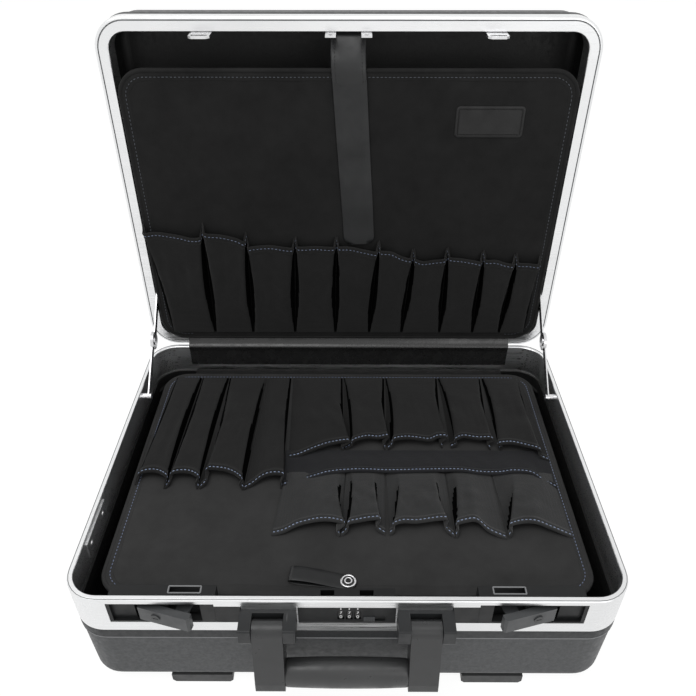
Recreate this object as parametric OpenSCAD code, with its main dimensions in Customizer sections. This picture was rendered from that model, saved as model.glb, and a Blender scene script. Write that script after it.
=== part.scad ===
// Hard tool case with two framed half shells, shown with its lid standing open.
// Drawn in the case's own frame: X to the right, Y from the front face to the back, Z = 0 at the seam
// between the two frames. place() at the end moves that frame so that the origin is at the middle of
// the footprint, on the floor. Lid parts are drawn closed and turned open by on_lid().

/* [Case] */
// Outer width of the frames
case_w = 490; // [460:1:530]
// Outer depth of the frames
case_d = 375; // [350:1:410]
// Outer corner radius of the frames
corner_r = 32; // [30:1:40]
// Height of the base shell below the seam
base_h = 125; // [115:1:160]
// Depth of the lid above the seam
lid_h = 70; // [64:1:100]
// Height of the feet below the base shell
foot_h = 10; // [6:0.5:16]

/* [Frames] */
// Wall of the aluminium extrusions
frame_t = 1.6; // [1.4:0.1:1.8]
// Width of the base frame's rim
base_rim_w = 5.5; // [5.2:0.1:7]
// Height of the base frame's outer face
base_frame_h = 40; // [38:1:46]
// Height of the base frame's inner wall
base_inner_h = 28; // [20:1:32]
// Width of the lid frame's mating face
lid_rim_w = 13.6; // [12.6:0.1:14]
// Height of the lid frame's outer face
lid_frame_h = 18; // [14:1:22]
// Height of the lid frame's inner return wall
lid_return_h = 22; // [18:1:26]

/* [Shells] */
// Wall of the moulded shells
shell_t = 2.5; // [2:0.1:2.5]
// Floor of the moulded shells
floor_t = 4; // [3.5:0.5:6]
// Height of the thick lip below each frame
lip_h = 14; // [10:1:18]
// Step from the lip in to the body
body_inset = 6; // [4:0.5:8]
// Further draft of the body over its height
body_draft = 6; // [3:0.5:8]
// Radius between the body and the big faces
edge_r = 11; // [8:1:12]
// Depth of the recessed middle panel of each big face
panel_step = 1.8; // [1:0.1:2]
// Half width of the recessed middle panel
panel_half = 170; // [169:1:190]

/* [Feet] */
// Length of a foot along the width
foot_w = 58; // [40:1:60]
// Depth of a foot
foot_d = 26; // [18:1:34]
// Distance of a foot's middle from the centre line
foot_x = 138; // [120:1:140]
// Distance of a foot's front from the frame's face
foot_y = 14; // [13:1:24]

/* [Boards] */
// Gap between the sides of both tool boards and the frames' outer faces
board_side = 17; // [17:0.5:25]
// Front edge of the base board, over the binding
base_board_front = 27; // [24:1:40]
// Gap between the base board's back edge and the frame's back face
base_board_gap = 20; // [18:1:30]
// Depth of the base board's face below the seam
base_board_drop = 31; // [30:0.5:60]
// Thickness of both boards
board_t = 4; // [3:0.5:4.5]
// Radius of the round binding
binding_r = 2.6; // [2.3:0.1:3]
// Corner radius of the boards
board_r = 28; // [20:1:40]
// Gap between the lid board and the front of the lid frame
lid_board_front = 44; // [40:1:60]
// Gap between the lid board and the hinge side of the lid frame
lid_board_low = 15; // [14.5:0.5:20]
// How far the lid board's face stands proud of the lid's mating face
lid_board_proud = 9.5; // [4:0.5:10.5]

/* [Pockets] */
// Distance of the sewn ends from the edge of a board
pocket_edge = 12; // [11:0.5:16]
// Thickness of the pocket cloth
cloth_t = 1.2; // [0.8:0.1:1.4]
// Depth of a pocket's mouth
pocket_d = 8.6; // [7:0.1:9]
// Depth of a pocket at its sewn end
pocket_end_d = 2.4; // [2:0.1:4]
// How far the top of a pocket's mouth is drawn back
pocket_lean = 8; // [0:1:12]
// Gap between neighbouring pockets
pocket_gap = 1.4; // [1:0.1:3]

/* [Straps] */
// Width of the strap that holds the lid board
strap_w = 34; // [28:1:40]
// Thickness of that strap
strap_t = 2; // [1.5:0.1:2.5]
// Height of its tip above the hinge, with the lid open
strap_tip = 146; // [140:1:200]
// Radius of its tip's corners
strap_tip_r = 9; // [5:0.5:15]
// Angle at which it hangs across the board
strap_tilt = 3.6; // [0:0.1:5]
// Height of the sewn patch's lower edge above the hinge
patch_low = 265; // [240:1:280]
// Height of the patch
patch_h = 31; // [20:1:40]
// Distance of the patch from the centre line
patch_x = 108; // [60:1:120]
// Width of the patch
patch_w = 68; // [50:1:80]

/* [Hinge] */
// Radius of the piano hinge's knuckles
knuckle_r = 1.8; // [1.6:0.1:2]
// Radius of the hinge pin
hinge_pin_r = 0.8; // [0.7:0.05:0.9]
// Thickness of the hinge leaves
leaf_t = 1; // [0.8:0.1:1.2]
// Height of the hinge leaves
leaf_h = 16; // [12:1:17]
// Length of one knuckle
knuckle_l = 20; // [15:1:30]
// Half length of the hinge
hinge_half = 200; // [180:10:210]

/* [Stays] */
// Distance of the lower pivots from the frame's back face
stay_base_back = 94; // [88:1:100]
// Depth of the lower pivots below the seam
stay_base_drop = 8; // [7:0.5:9]
// Depth of the upper pivots inside the open lid
stay_lid_in = 6; // [5:0.5:7]
// Height of the upper pivots above the hinge
stay_lid_up = 72; // [68:1:76]
// Width of the stay arms
stay_w = 9; // [7:0.5:11]
// Thickness of the stay arms
stay_t = 1.3; // [1:0.1:1.4]
// Radius of the friction disc at a stay's knee
stay_disc_r = 10.5; // [8:0.5:11]
// Radius of the pivots
stay_pin_r = 2; // [1.5:0.1:2.5]

/* [Latches] */
// Outer end of a latch housing from the centre line
latch_out = 205; // [200:1:208]
// Inner end of a latch housing from the centre line
latch_in = 113; // [108:1:118]
// Angle at which the levers stand ajar
latch_ajar = 14; // [0:1:20]
// Distance of the latch keepers from the centre line
keeper_x = 140; // [138:1:142]

/* [Handle] */
// Half distance between the inner sides of the brackets
bracket_in = 43; // [42.5:0.5:46]
// Width of a bracket
bracket_w = 48; // [44:1:48]
// How far a bracket stands out from the frame
bracket_d = 22; // [21.5:0.5:26]
// Height of a bracket
bracket_h = 20.5; // [19:0.5:22]
// Distance from the pivot down to the middle of the grip
handle_drop = 54; // [48:1:60]
// Radius of the handle's pivot pins
handle_pin_r = 3; // [2.5:0.1:4]

/* [Lock] */
// Half width of the lock's housing
lock_half = 42; // [40:0.5:42.4]
// Middle dial from the centre line
dial_x = 2; // [0:0.5:4]
// Distance between the dials
dial_pitch = 7.2; // [6.6:0.1:8]
// Radius of the dials
dial_r = 9; // [8:0.1:9.2]

/* [Hidden] */
$fn = 48;

fit = 0.3;          // clearance between pieces that only sit together
run = 0.05;         // radial clearance of a pin in its bore
skin = 0.1;         // clearance of a piece held in a channel

// --- derived places -------------------------------------------------------------------------
lid_open = 90;                                   // the lid stands open by this much
hinge_y = case_d;                                // hinge axis, on the back edge of the seam
seam = 0.3;                                      // gap between the two frames when the case is shut
relief_r = knuckle_r + 0.2;                      // groove along the back edges that clears the knuckles
fillet = 1.8;                                    // thickening inside the frames' outer corners
handle_reach = 32;                               // front of the handle in front of the frame's face
body_back = hinge_y + seam + lid_h;                     // back of the open lid
mid_y = (body_back - handle_reach) / 2;          // middle of the footprint
floor_z = -(base_h + foot_h);                    // the surface that the case stands on

channel_out = frame_t + skin;                    // shell tongue in the base frame's channel
channel_in = channel_out + shell_t;
frame_inner_t = base_rim_w - channel_in - skin;  // inner wall of the base frame
shell_top = -(frame_t + fillet);

hardware_top = -5;                               // top of the latch housings
hardware_bottom = -31;
housing_depth = 19.5;                            // how deep the lock hardware reaches inside
slot_y = 12.2;                                   // front of the keeper slots
slot_d = 5.4;
keeper_y = 13.9;                                 // front of the keepers, just inside the lid's return wall
keeper_t = 2.2;
tab_t = 1.6;

board_bead_z = -(base_board_drop + board_t / 2); // middle of the base board's binding
lid_bead_z = -(lid_board_proud - board_t / 2);   // middle of the lid board's binding, lid closed
lid_board_back = case_d - lid_board_low;         // hinge-side edge of the lid board, lid closed
lid_board_h = lid_board_back - lid_board_front;
base_board_back = case_d - base_board_gap;
board_half = case_w / 2 - board_side;

// stay pivots, in Y and Z: the base stud, the knee and the lid stud, with the lid open
stay_base = [case_d - stay_base_back, -stay_base_drop];
stay_lid_open = [hinge_y + stay_lid_in, stay_lid_up];
stay_share = 0.53;                               // share of the stay's length that the lower arm has
stay_bow = 1;                                    // the knee stands this far off the straight line
stay_run = stay_lid_open - stay_base;
stay_knee = stay_base + stay_share * stay_run
    + stay_bow * [stay_run[1], -stay_run[0]] / norm(stay_run);
stay_lid = [hinge_y - stay_lid_open[1], stay_lid_open[0] - hinge_y - seam];
lid_opening = case_w / 2 - lid_rim_w;            // half width of the lid frame's opening
upper_x = lid_opening - 0.4 - stay_t;            // inner face of the upper arms
lower_x = upper_x + stay_t + 0.2;                // inner face of the lower arms

handle_pin = [-bracket_d / 2 - 1.6, -22];        // handle pivot in Y and Z
bracket_bar = 3.6;                               // back bar of a bracket
knuckle_fit = -handle_pin[0] - bracket_bar - fit;
cheek_w = 10.5;                                  // side walls of a bracket
arm_in = bracket_in + cheek_w + 0.4;
arm_out = bracket_in + bracket_w - cheek_w - 0.4;
grip_mid = [handle_pin[0] - 7.6, handle_pin[1] - handle_drop];

lock_top = -9;
lock_bottom = -32;
dial_mid = [dial_r - 1, -21];
dial_t = 4.6;
spindle_r = 2;

latch_pivot = [176, 4.6];                        // pivot of a latch lever, X from the centre line
lever_top = hardware_top - 1.6;
lever_bottom = hardware_bottom + 1.9;

// dividers of the pocket rows, left to right: X at the closed end, X at the mouth and Y of the mouth.
// They are laid out on a board of this half width, and spread with the board.
rows_half = 228;
rows_spread = board_half / rows_half;
left_dividers = [[-215, -222, 171], [-183, -191, 171], [-149, -158, 170], [-101, -111, 168], [-71, -68, 166]];
back_dividers = [[-70, -66, 206], [-7, 1, 215], [45, 45, 215], [111, 114, 216], [166, 164, 215], [215, 221, 206]];
front_dividers = [[-66, -73, 97], [-2, -1, 94], [40, 40, 94], [104, 104, 94], [153, 156, 94], [218, 218, 94]];
// the lid's row: X, and the height of the mouth above the hinge with the lid open
lid_dividers = [[-222, 162], [-164, 154], [-115, 150], [-63, 144], [-16, 142], [29, 136], [69, 132],
    [112, 128], [153, 127], [188, 122], [219, 119]];

// --- helpers --------------------------------------------------------------------------------

// points on an arc
function arc(centre, r, from, to, steps = 6) =
    [for (i = [0:steps]) let (a = from + (to - from) * i / steps)
        [centre[0] + r * cos(a), centre[1] + r * sin(a)]];

// outline of a strip of thickness t that follows a route
function strip_normal(route, i) =
    let (a = route[max(i - 1, 0)], b = route[min(i + 1, len(route) - 1)], d = b - a)
        [-d[1], d[0]] / norm(d);
function strip(route, t) = concat(route,
    [for (i = [len(route) - 1:-1:0]) route[i] + t * strip_normal(route, i)]);

// a rectangle with round corners
module rounded(w, d, r) {
    square([w - 2 * r, d], center = true);
    square([w, d - 2 * r], center = true);
    for (x = [-1, 1], y = [-1, 1])
        translate([x * (w / 2 - r), y * (d / 2 - r)])
            circle(r);
}

// sweeps a profile round a rounded rectangle: X of the profile is 0 at the outline, negative inside
module ring(w, d, r) {
    for (q = [0:3]) {
        side = q % 2 == 0 ? [w / 2, d / 2 - r] : [d / 2, w / 2 - r];
        rotate(90 * q)
            translate([side[0], side[1], 0]) {
                rotate([90, 0, 0])
                    linear_extrude(2 * side[1])
                        children();
                translate([-r, 0, 0])
                    rotate_extrude(angle = 90)
                        translate([r, 0])
                            children();
            }
    }
}

module mid_case() {
    translate([0, case_d / 2, 0])
        children();
}

// a box from its lowest to its highest corner
module span(low, high) {
    translate(low)
        cube(high - low);
}

// an outline in Y and Z, extruded along X
module along_x(x0, x1) {
    translate([x0, 0, 0])
        rotate([90, 0, 90])
            linear_extrude(x1 - x0)
                children();
}

module pin_x(x0, x1, yz, r) {
    translate([x0, yz[0], yz[1]])
        rotate([0, 90, 0])
            cylinder(h = x1 - x0, r = r);
}

module pin_z(xy, z0, z1, r) {
    translate([xy[0], xy[1], z0])
        cylinder(h = z1 - z0, r = r);
}

module place() {
    translate([0, -mid_y, -floor_z])
        children();
}

module on_lid(lift = seam) {
    translate([0, hinge_y, 0])
        rotate([-lid_open, 0, 0])
            translate([0, -hinge_y, lift])
                children();
}

module both_sides() {
    children();
    mirror([1, 0, 0])
        children();
}

// --- shells and frames ----------------------------------------------------------------------

// wall of a shell from the frame to the big face: outline in X (from the case's outline) and height
module shell_wall(frame_h, height) {
    lip_end = frame_h + lip_h;
    foot_end = height - edge_r;
    inner_r = edge_r - shell_t;
    low_inset = body_inset + body_draft;
    polygon(concat(
        [[-channel_out, -shell_top], [-channel_out, frame_h + skin], [-0.6, frame_h + skin],
            [-0.3, frame_h + 1.5]],
        arc([-3.3, lip_end - 3], 3, 0, 60, 3),
        [[-body_inset, lip_end + 1], [-low_inset, foot_end]],
        arc([-low_inset - edge_r, foot_end], edge_r, 10, 90),
        [[-low_inset - edge_r, height - floor_t]],
        arc([-low_inset - shell_t - inner_r, foot_end - floor_t + shell_t], inner_r, 90, 0),
        [[-body_inset - shell_t, lip_end + 1], [-channel_in, lip_end - 4], [-channel_in, -shell_top]]
    ));
}

// a whole shell, upright like the lid: the frame sits at its foot
module shell(frame_h, height) {
    flat_inset = body_inset + body_draft + edge_r;
    difference() {
        mid_case() {
            ring(case_w, case_d, corner_r)
                shell_wall(frame_h, height);
            translate([0, 0, height - floor_t])
                linear_extrude(floor_t)
                    rounded(case_w - 2 * flat_inset, case_d - 2 * flat_inset, corner_r - flat_inset);
        }
        span([-panel_half, -1, height - panel_step], [panel_half, case_d + 1, height + 1]);
    }
}

// the cut-outs for the latches and the lock in the front of the base
module hardware_cuts(gap) {
    both_sides()
        span([latch_in - gap, -1, hardware_bottom - gap], [latch_out + gap, base_rim_w + 1, hardware_top + gap]);
    span([-lock_half - gap, -1, lock_bottom - gap], [lock_half + gap, base_rim_w + 1, lock_top + gap]);
}

module base_shell() color([0.16, 0.17, 0.17]) {
    difference() {
        mirror([0, 0, 1])
            shell(base_frame_h, base_h);
        hardware_cuts(skin);
    }
}

module base_frame() color([0.8, 0.81, 0.82]) {
    difference() {
        mid_case()
            ring(case_w, case_d, corner_r) {
                polygon(concat(
                    [[-base_rim_w + 0.6, 0]],
                    arc([-2.2, -2.2], 2.2, 90, 0),
                    [[0, -base_frame_h], [-frame_t, -base_frame_h], [-frame_t, -frame_t - fillet],
                        [-frame_t - fillet, -frame_t], [-base_rim_w + frame_inner_t, -frame_t], [-base_rim_w + frame_inner_t, -base_inner_h],
                        [-base_rim_w, -base_inner_h], [-base_rim_w, -0.6]]));
            }
        hardware_cuts(0);
        both_sides()
            span([bracket_in + bracket_w - 1, -1, hardware_bottom], [latch_in + 1, frame_t, hardware_top - 3]);
        pin_x(-hinge_half - 0.5, hinge_half + 0.5, [hinge_y, 0], relief_r);
    }
}

// the plate inside the left rim that joins the two ends of the bent extrusion
module frame_joiner() color([0.86, 0.87, 0.87]) {
    wall = case_w / 2 - base_rim_w;
    difference() {
        span([-wall, 62, -23], [-wall + 1.4, 118, -5]);
        for (y = [72, 108])
            pin_x(-wall - 1, -wall + 3, [y, -14], 1.6);
    }
}

// small flat-bottomed blocks with sloping ends
module foot() {
    top = -base_h + panel_step;
    bottom = floor_z;
    slope = 3;
    difference() {
        rotate([90, 0, 0])
            translate([0, 0, -foot_d])
                linear_extrude(foot_d)
                    polygon([[-foot_w / 2, top], [foot_w / 2, top], [foot_w / 2, bottom + slope],
                        [foot_w / 2 - slope, bottom], [-foot_w / 2 + slope, bottom], [-foot_w / 2, bottom + slope]]);
        for (x = [-1, 1])
            pin_z([x * foot_w / 4, foot_d / 2], bottom - 1, bottom + 3, 3);
    }
}

module feet() color([0.13, 0.14, 0.14]) {
    for (x = [-foot_x, foot_x], y = [foot_y, case_d - foot_y - foot_d])
        translate([x, y, 0])
            foot();
}

// angle rails on the front and back walls that carry the base board
module board_rails() color([0.12, 0.12, 0.12]) {
    top = board_bead_z - binding_r - fit;
    wall_t = 2;
    length = 195;
    lap = 12;
    front_wall = channel_in;
    back_wall = case_d - channel_in;
    leg = frame_leg();
    along_x(-length, length) {
        polygon([[front_wall, top], [base_board_front + lap, top], [base_board_front + lap, top - wall_t],
            [front_wall + wall_t, top - wall_t], [front_wall + wall_t, leg], [front_wall, leg]]);
        polygon([[back_wall, top], [base_board_back - lap, top], [base_board_back - lap, top - wall_t],
            [back_wall - wall_t, top - wall_t], [back_wall - wall_t, leg], [back_wall, leg]]);
    }
}
function frame_leg() = -(base_frame_h + lip_h - 5);

module lid_frame() color([0.8, 0.81, 0.82]) {
    inner = lid_rim_w - frame_t;
    on_lid()
        difference() {
            mid_case()
                ring(case_w, case_d, corner_r)
                    polygon(concat(
                        [[-lid_rim_w + 0.6, 0], [-lid_rim_w, 0.6], [-lid_rim_w, lid_return_h],
                            [-inner, lid_return_h], [-inner, frame_t], [-channel_in - skin - 1, frame_t],
                            [-channel_in - skin - 1, 8], [-channel_in - skin, 8], [-channel_in - skin, frame_t],
                            [-frame_t - fillet, frame_t], [-frame_t, frame_t + fillet], [-frame_t, lid_frame_h], [0, lid_frame_h]],
                        arc([-3, 3], 3, 0, -90),
                        [[-3.4, 0.5], [-3.9, 0.5], [-4.2, 0]]));
            both_sides()
                pin_x(lid_opening - 1, lid_opening + frame_t + 1, stay_lid, stay_pin_r);
            pin_x(-hinge_half - 0.5, hinge_half + 0.5, [hinge_y, -seam], relief_r);
        }
}

module lid_shell() color([0.16, 0.17, 0.17]) {
    on_lid()
        shell(lid_frame_h, lid_h);
}

// outline of the lid's sloping side at a height
function lid_side(z) = let (low = lid_frame_h + lip_h + 1, high = lid_h - edge_r)
    body_inset + body_draft * (z - low) / (high - low);

// the bare plate on the lid's front wall
module badge_plate() color([0.35, 0.36, 0.37]) {
    t = 0.8;
    z0 = 36;
    z1 = 56;
    on_lid()
        along_x(-29, 29)
            polygon([[lid_side(z0), z0], [lid_side(z1), z1], [lid_side(z1) - t, z1], [lid_side(z0) - t, z0]]);
}

// --- hinge ------------------------------------------------------------------------------------

module knuckles(first) {
    count = floor(2 * hinge_half / knuckle_l);
    for (i = [first:2:count - 1])
        pin_x(-hinge_half + i * knuckle_l + 0.15, -hinge_half + (i + 1) * knuckle_l - 0.15,
            [hinge_y, 0], knuckle_r);
}

// a leaf with every other knuckle: drawn for the base, mirrored in Z for the closed lid
module hinge_leaf(first) {
    difference() {
        union() {
            span([-hinge_half, case_d, -leaf_h], [hinge_half, case_d + leaf_t, -relief_r - 0.1]);
            knuckles(first);
            for (i = [first:2:floor(2 * hinge_half / knuckle_l) - 1])
                span([-hinge_half + i * knuckle_l + 0.15, case_d, -relief_r - 0.2],
                    [-hinge_half + (i + 1) * knuckle_l - 0.15, case_d + leaf_t, 0]);
        }
        pin_x(-hinge_half - 1, hinge_half + 1, [hinge_y, 0], hinge_pin_r + run);
    }
}

module hinge_base_leaf() color([0.7, 0.71, 0.72]) {
    hinge_leaf(0);
}

module hinge_lid_leaf() color([0.7, 0.71, 0.72]) {
    on_lid(0)
        mirror([0, 0, 1])
            hinge_leaf(1);
}

module hinge_pin() color([0.75, 0.76, 0.77]) {
    pin_x(-hinge_half, hinge_half, [hinge_y, 0], hinge_pin_r);
}

// the strip that covers the hinge inside, from the lid's return wall down the base's inner wall
module hinge_cover() color([0.07, 0.07, 0.07]) {
    t = 1.5;
    wall = case_d - base_rim_w - 0.2;
    face = hinge_y + seam - 0.2;
    route = concat(
        [[face + 9, lid_rim_w + 0.2], [face, lid_rim_w + 0.2], [face - 1.4, lid_rim_w - 3]],
        arc([wall - 3.4, lid_rim_w - 3.4], 8.2, -12, -60, 4),
        [[wall - 1.9, 2.2], [wall - 1.9, 0.8], [wall, -4], [wall, -base_inner_h + 1]]);
    along_x(-hinge_half, hinge_half)
        polygon(strip(route, -t));
}

// --- boards and pockets -------------------------------------------------------------------------

module board_plate(h) {
    inset = binding_r;
    linear_extrude(board_t, center = true)
        rounded(2 * (board_half - inset), h - 2 * inset, board_r - inset);
}

module board_binding(h) {
    difference() {
        ring(2 * board_half, h, board_r)
            translate([-binding_r, 0])
                circle(binding_r);
        board_plate(h);
    }
}

base_board_d = base_board_back - base_board_front;

module at_base_board() {
    translate([0, base_board_front + base_board_d / 2, board_bead_z])
        children();
}

module base_board() color([0.14, 0.14, 0.14]) {
    at_base_board()
        board_plate(base_board_d);
}

module base_board_binding() color([0.1, 0.1, 0.1]) {
    at_base_board()
        board_binding(base_board_d);
}

// height of a pocket's arch across its width
function bow(u) = pow(1 - pow(abs(2 * u - 1), 2.3), 1 / 2.3);

// a point of a pocket's cloth: s runs from the mouth to the closed end, u across, t is the way in
function cloth_point(a, b, end, s, u, t) =
    let (left = rows_spread * (a[1] + (a[0] - a[1]) * s) + pocket_gap / 2 + t,
        right = rows_spread * (b[1] + (b[0] - b[1]) * s) - pocket_gap / 2 - t,
        mouth = a[2] + (b[2] - a[2]) * u + pocket_lean * bow(u),
        full = pocket_end_d + (pocket_d - pocket_end_d) * pow(cos(90 * s), 0.8))
        [left + (right - left) * u, mouth + (end - t - mouth) * s, (full - t) * bow(u)];

// one open pocket between dividers a and b, lying on the board, its closed end at Y = end
module pocket(a, b, end) {
    n = 10;
    m = 4;
    across = [for (k = [0:n]) (1 - cos(180 * k / n)) / 2];
    skins = [for (t = [0, cloth_t], j = [0:m], k = [0:n]) cloth_point(a, b, end, j / m, across[k], t)];
    row = n + 1;
    in = row * (m + 1);
    quads = concat(
        [for (j = [0:m - 1], k = [0:n - 1]) let (i = j * row + k) [i, i + row, i + row + 1, i + 1]],
        [for (j = [0:m - 1], k = [0:n - 1]) let (i = in + j * row + k) [i, i + 1, i + row + 1, i + row]],
        [for (k = [0:n - 1]) [k, k + 1, in + k + 1, in + k]],
        [for (j = [0:m - 1]) let (i = j * row) [i, in + i, in + i + row, i + row]],
        [for (j = [0:m - 1]) let (i = j * row + n) [i, i + row, in + i + row, in + i]],
        [[m * row, in + m * row, in + m * row + n, m * row + n]]);
    outer_end = [for (k = [1:n - 1]) [m * row, m * row + k + 1, m * row + k]];
    inner_end = [for (k = [1:n - 1]) [in + m * row, in + m * row + k, in + m * row + k + 1]];
    polyhedron(skins, concat([for (q = quads) each [[q[0], q[1], q[2]], [q[0], q[2], q[3]]]],
        outer_end, inner_end));
}

module pocket_row(dividers, end) {
    for (i = [0:len(dividers) - 2])
        pocket(dividers[i], dividers[i + 1], end);
}

base_face = -base_board_drop;
pocket_closed = base_board_back - pocket_edge;
hem_y = 180;

module base_pockets_left() color([0.13, 0.13, 0.13]) {
    translate([0, 0, base_face])
        pocket_row(left_dividers, pocket_closed);
}

module base_pockets_back() color([0.13, 0.13, 0.13]) {
    translate([0, 0, base_face])
        pocket_row(back_dividers, pocket_closed);
}

// the bound edge that covers the sewn end of the front row
module base_pocket_hem() color([0.12, 0.12, 0.12]) {
    translate([0, 0, base_face])
        along_x(rows_spread * back_dividers[0][1] - 1, rows_spread * front_dividers[5][0])
            polygon([[hem_y, 0], [hem_y - 1, 3], [hem_y + 2, 4], [hem_y + 12, 2.6], [hem_y + 24, 0]]);
}

module base_pockets_front() color([0.13, 0.13, 0.13]) {
    translate([0, 0, base_face])
        pocket_row(front_dividers, hem_y - 1.4);
}

// the strap at the front of the base board that lifts it, with its snap
module pull_strap() color([0.08, 0.08, 0.08]) {
    t = 1.8;
    w = 16;
    translate([1, 41, base_face])
        rotate(173) {
            difference() {
                union() {
                    span([0, -w / 2, 0], [56, w / 2, t]);
                    cylinder(h = t, r = w / 2);
                }
                pin_z([0, 0], -1, t + 1, 1.6);
            }
        }
}

module pull_strap_snap() color([0.75, 0.75, 0.75]) {
    translate([1, 41, base_face + 1.8])
        rotate_extrude()
            polygon([[0, 0], [6.2, 0], [6.2, 0.6], [5.2, 1.6], [3.4, 1.6], [2.8, 0.8], [0, 0.8]]);
    pin_z([1, 41], base_face, base_face + 1.8, 1.6);
}

module at_lid_board() {
    on_lid()
        translate([0, lid_board_back - lid_board_h / 2, lid_bead_z])
            children();
}

module lid_board() color([0.14, 0.14, 0.14]) {
    at_lid_board()
        board_plate(lid_board_h);
}

module lid_board_binding() color([0.1, 0.1, 0.1]) {
    at_lid_board()
        board_binding(lid_board_h);
}

// the mouths of the lid pockets run down from left to right
module lid_pockets() color([0.13, 0.13, 0.13]) {
    dividers = [for (d = lid_dividers) [min(max(d[0], -215), 215), d[0], hinge_y - d[1]]];
    on_lid()
        translate([0, 0, -lid_board_proud])
            mirror([0, 0, 1])
                pocket_row(dividers, lid_board_back - pocket_edge);
}

module label_patch() color([0.1, 0.1, 0.1]) {
    on_lid()
        span([patch_x, hinge_y - patch_low - patch_h, -lid_board_proud - 1],
            [patch_x + patch_w, hinge_y - patch_low, -lid_board_proud]);
}

// the strap that holds the lid board back, from the lid's front wall to its snap on the board
module lid_strap() color([0.08, 0.08, 0.08]) {
    w = strap_w;
    t = strap_t;
    board_front = lid_board_front;
    face = lid_bead_z - binding_r - fit;
    wall = lid_rim_w + skin + t;
    over_tabs = keeper_y + tab_t + fit + t;
    length = hinge_y - strap_tip - board_front;
    on_lid() {
        along_x(-w / 2, w / 2)
            polygon(strip([[wall, lid_return_h - 0.5], [wall, 14.5], [over_tabs, 12.4], [over_tabs + 0.8, 6],
                [board_front - 14, -3], [board_front - 4, face + 1.4], [board_front + 3, face]], -t));
        translate([0, board_front, face - t])
            rotate(-strap_tilt)
                linear_extrude(t)
                    hull() {
                        translate([-w / 2, 2])
                            square([w, 10]);
                        for (x = [-1, 1])
                            translate([x * (w / 2 - strap_tip_r), length - strap_tip_r])
                                circle(strap_tip_r);
                    }
    }
}

// --- latches --------------------------------------------------------------------------------------

module latch_housing() {
    front = 0.5;
    pocket_in = latch_in + 12;
    difference() {
        span([latch_in + skin, front, hardware_bottom + skin], [latch_out - skin, housing_depth, hardware_top - skin]);
        span([pocket_in, front - 1, hardware_bottom + 1.6], [latch_pivot[0] + 6, 9, hardware_top - 1.3]);
        span([latch_pivot[0] + 5.9, front - 1, hardware_bottom + 1.6], [latch_out - 3, 3.5, hardware_top - 1.3]);
        span([pocket_in, 8.9, hardware_bottom + 8], [pocket_in + 30, housing_depth - 1.5, hardware_top - 1.3]);
        span([keeper_x - 13, slot_y, hardware_top - 2], [keeper_x + 13, slot_y + slot_d, hardware_top + 1]);
        pin_z(latch_pivot, hardware_bottom + 0.6, hardware_top - 0.6, 1.5);
    }
}

module latch_housing_left() color([0.11, 0.11, 0.12]) {
    mirror([1, 0, 0])
        latch_housing();
}

module latch_housing_right() color([0.11, 0.11, 0.12]) {
    latch_housing();
}

module latch_pins() color([0.7, 0.7, 0.7]) {
    both_sides()
        pin_z(latch_pivot, hardware_bottom + 0.6, hardware_top - 0.6, 1.5);
}

// drawn closed on the right-hand side, its free end towards the middle
lever_end = 130;
key_x = 161;
key_r = 4.2;
module lever_ajar() {
    translate([latch_pivot[0], latch_pivot[1], 0])
        rotate(latch_ajar)
            translate([-latch_pivot[0], -latch_pivot[1], 0])
                children();
}

module latch_lever() {
    lever_ajar()
        difference() {
            union() {
                translate([0, 0, lever_bottom])
                    linear_extrude(lever_top - lever_bottom) {
                        polygon([[latch_pivot[0] + 2.9, latch_pivot[1] - 1], [latch_pivot[0] + 1, -0.6],
                            [lever_end + 2, -1.8], [lever_end, 0], [lever_end, 5],
                            [lever_end + 8, 5], [latch_pivot[0] - 1, latch_pivot[1] + 2]]);
                        translate(latch_pivot)
                            circle(3.2);
                    }
                span([keeper_x - 6, 3, -15], [keeper_x + 6, 16.6, -12]);
            }
            pin_z(latch_pivot, lever_bottom - 1, lever_top + 1, 1.5 + run);
            translate([key_x, 0, (lever_top + lever_bottom) / 2])
                rotate([90, 0, 0])
                    cylinder(h = 20, r = key_r + run, center = true);
        }
}

module key_plug() {
    lever_ajar()
        translate([key_x, 0, (lever_top + lever_bottom) / 2])
            rotate([90, 0, 0])
                difference() {
                    translate([0, 0, -4.6])
                        cylinder(h = 6.6, r = key_r);
                    translate([-2.4, -0.5, 0.6])
                        cube([4.8, 1, 3]);
                }
}

module latch_lever_left() color([0.13, 0.13, 0.14]) {
    mirror([1, 0, 0])
        latch_lever();
}

module latch_lever_right() color([0.13, 0.13, 0.14]) {
    latch_lever();
}

module key_plug_left() color([0.25, 0.26, 0.26]) {
    mirror([1, 0, 0])
        key_plug();
}

module key_plug_right() color([0.25, 0.26, 0.26]) {
    key_plug();
}

// loops on the lid's return wall that drop into the latch housings
module latch_keepers() color([0.85, 0.86, 0.86]) {
    ring_low = -18;
    on_lid()
        both_sides()
            translate([keeper_x, keeper_y, 0])
                rotate([90, 0, 0])
                    translate([0, 0, -keeper_t])
                        linear_extrude(keeper_t)
                            difference() {
                                polygon([[-10, 14], [10, 14], [10, ring_low + 3], [7, ring_low],
                                    [-7, ring_low], [-10, ring_low + 3]]);
                                translate([-7.6, ring_low + 2.4])
                                    square([15.2, 4.6]);
                                translate([0, 9])
                                    circle(1.6);
                            }
}

// two tabs on the lid's return wall that drop into the combination lock
module lock_keepers() color([0.85, 0.86, 0.86]) {
    on_lid()
        both_sides()
            difference() {
                span([12, keeper_y, -15], [22, keeper_y + tab_t, 12]);
                translate([17, keeper_y, -11])
                    rotate([90, 0, 0])
                        cylinder(h = 8, r = 2, center = true);
            }
}

// --- lock -----------------------------------------------------------------------------------------

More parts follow.
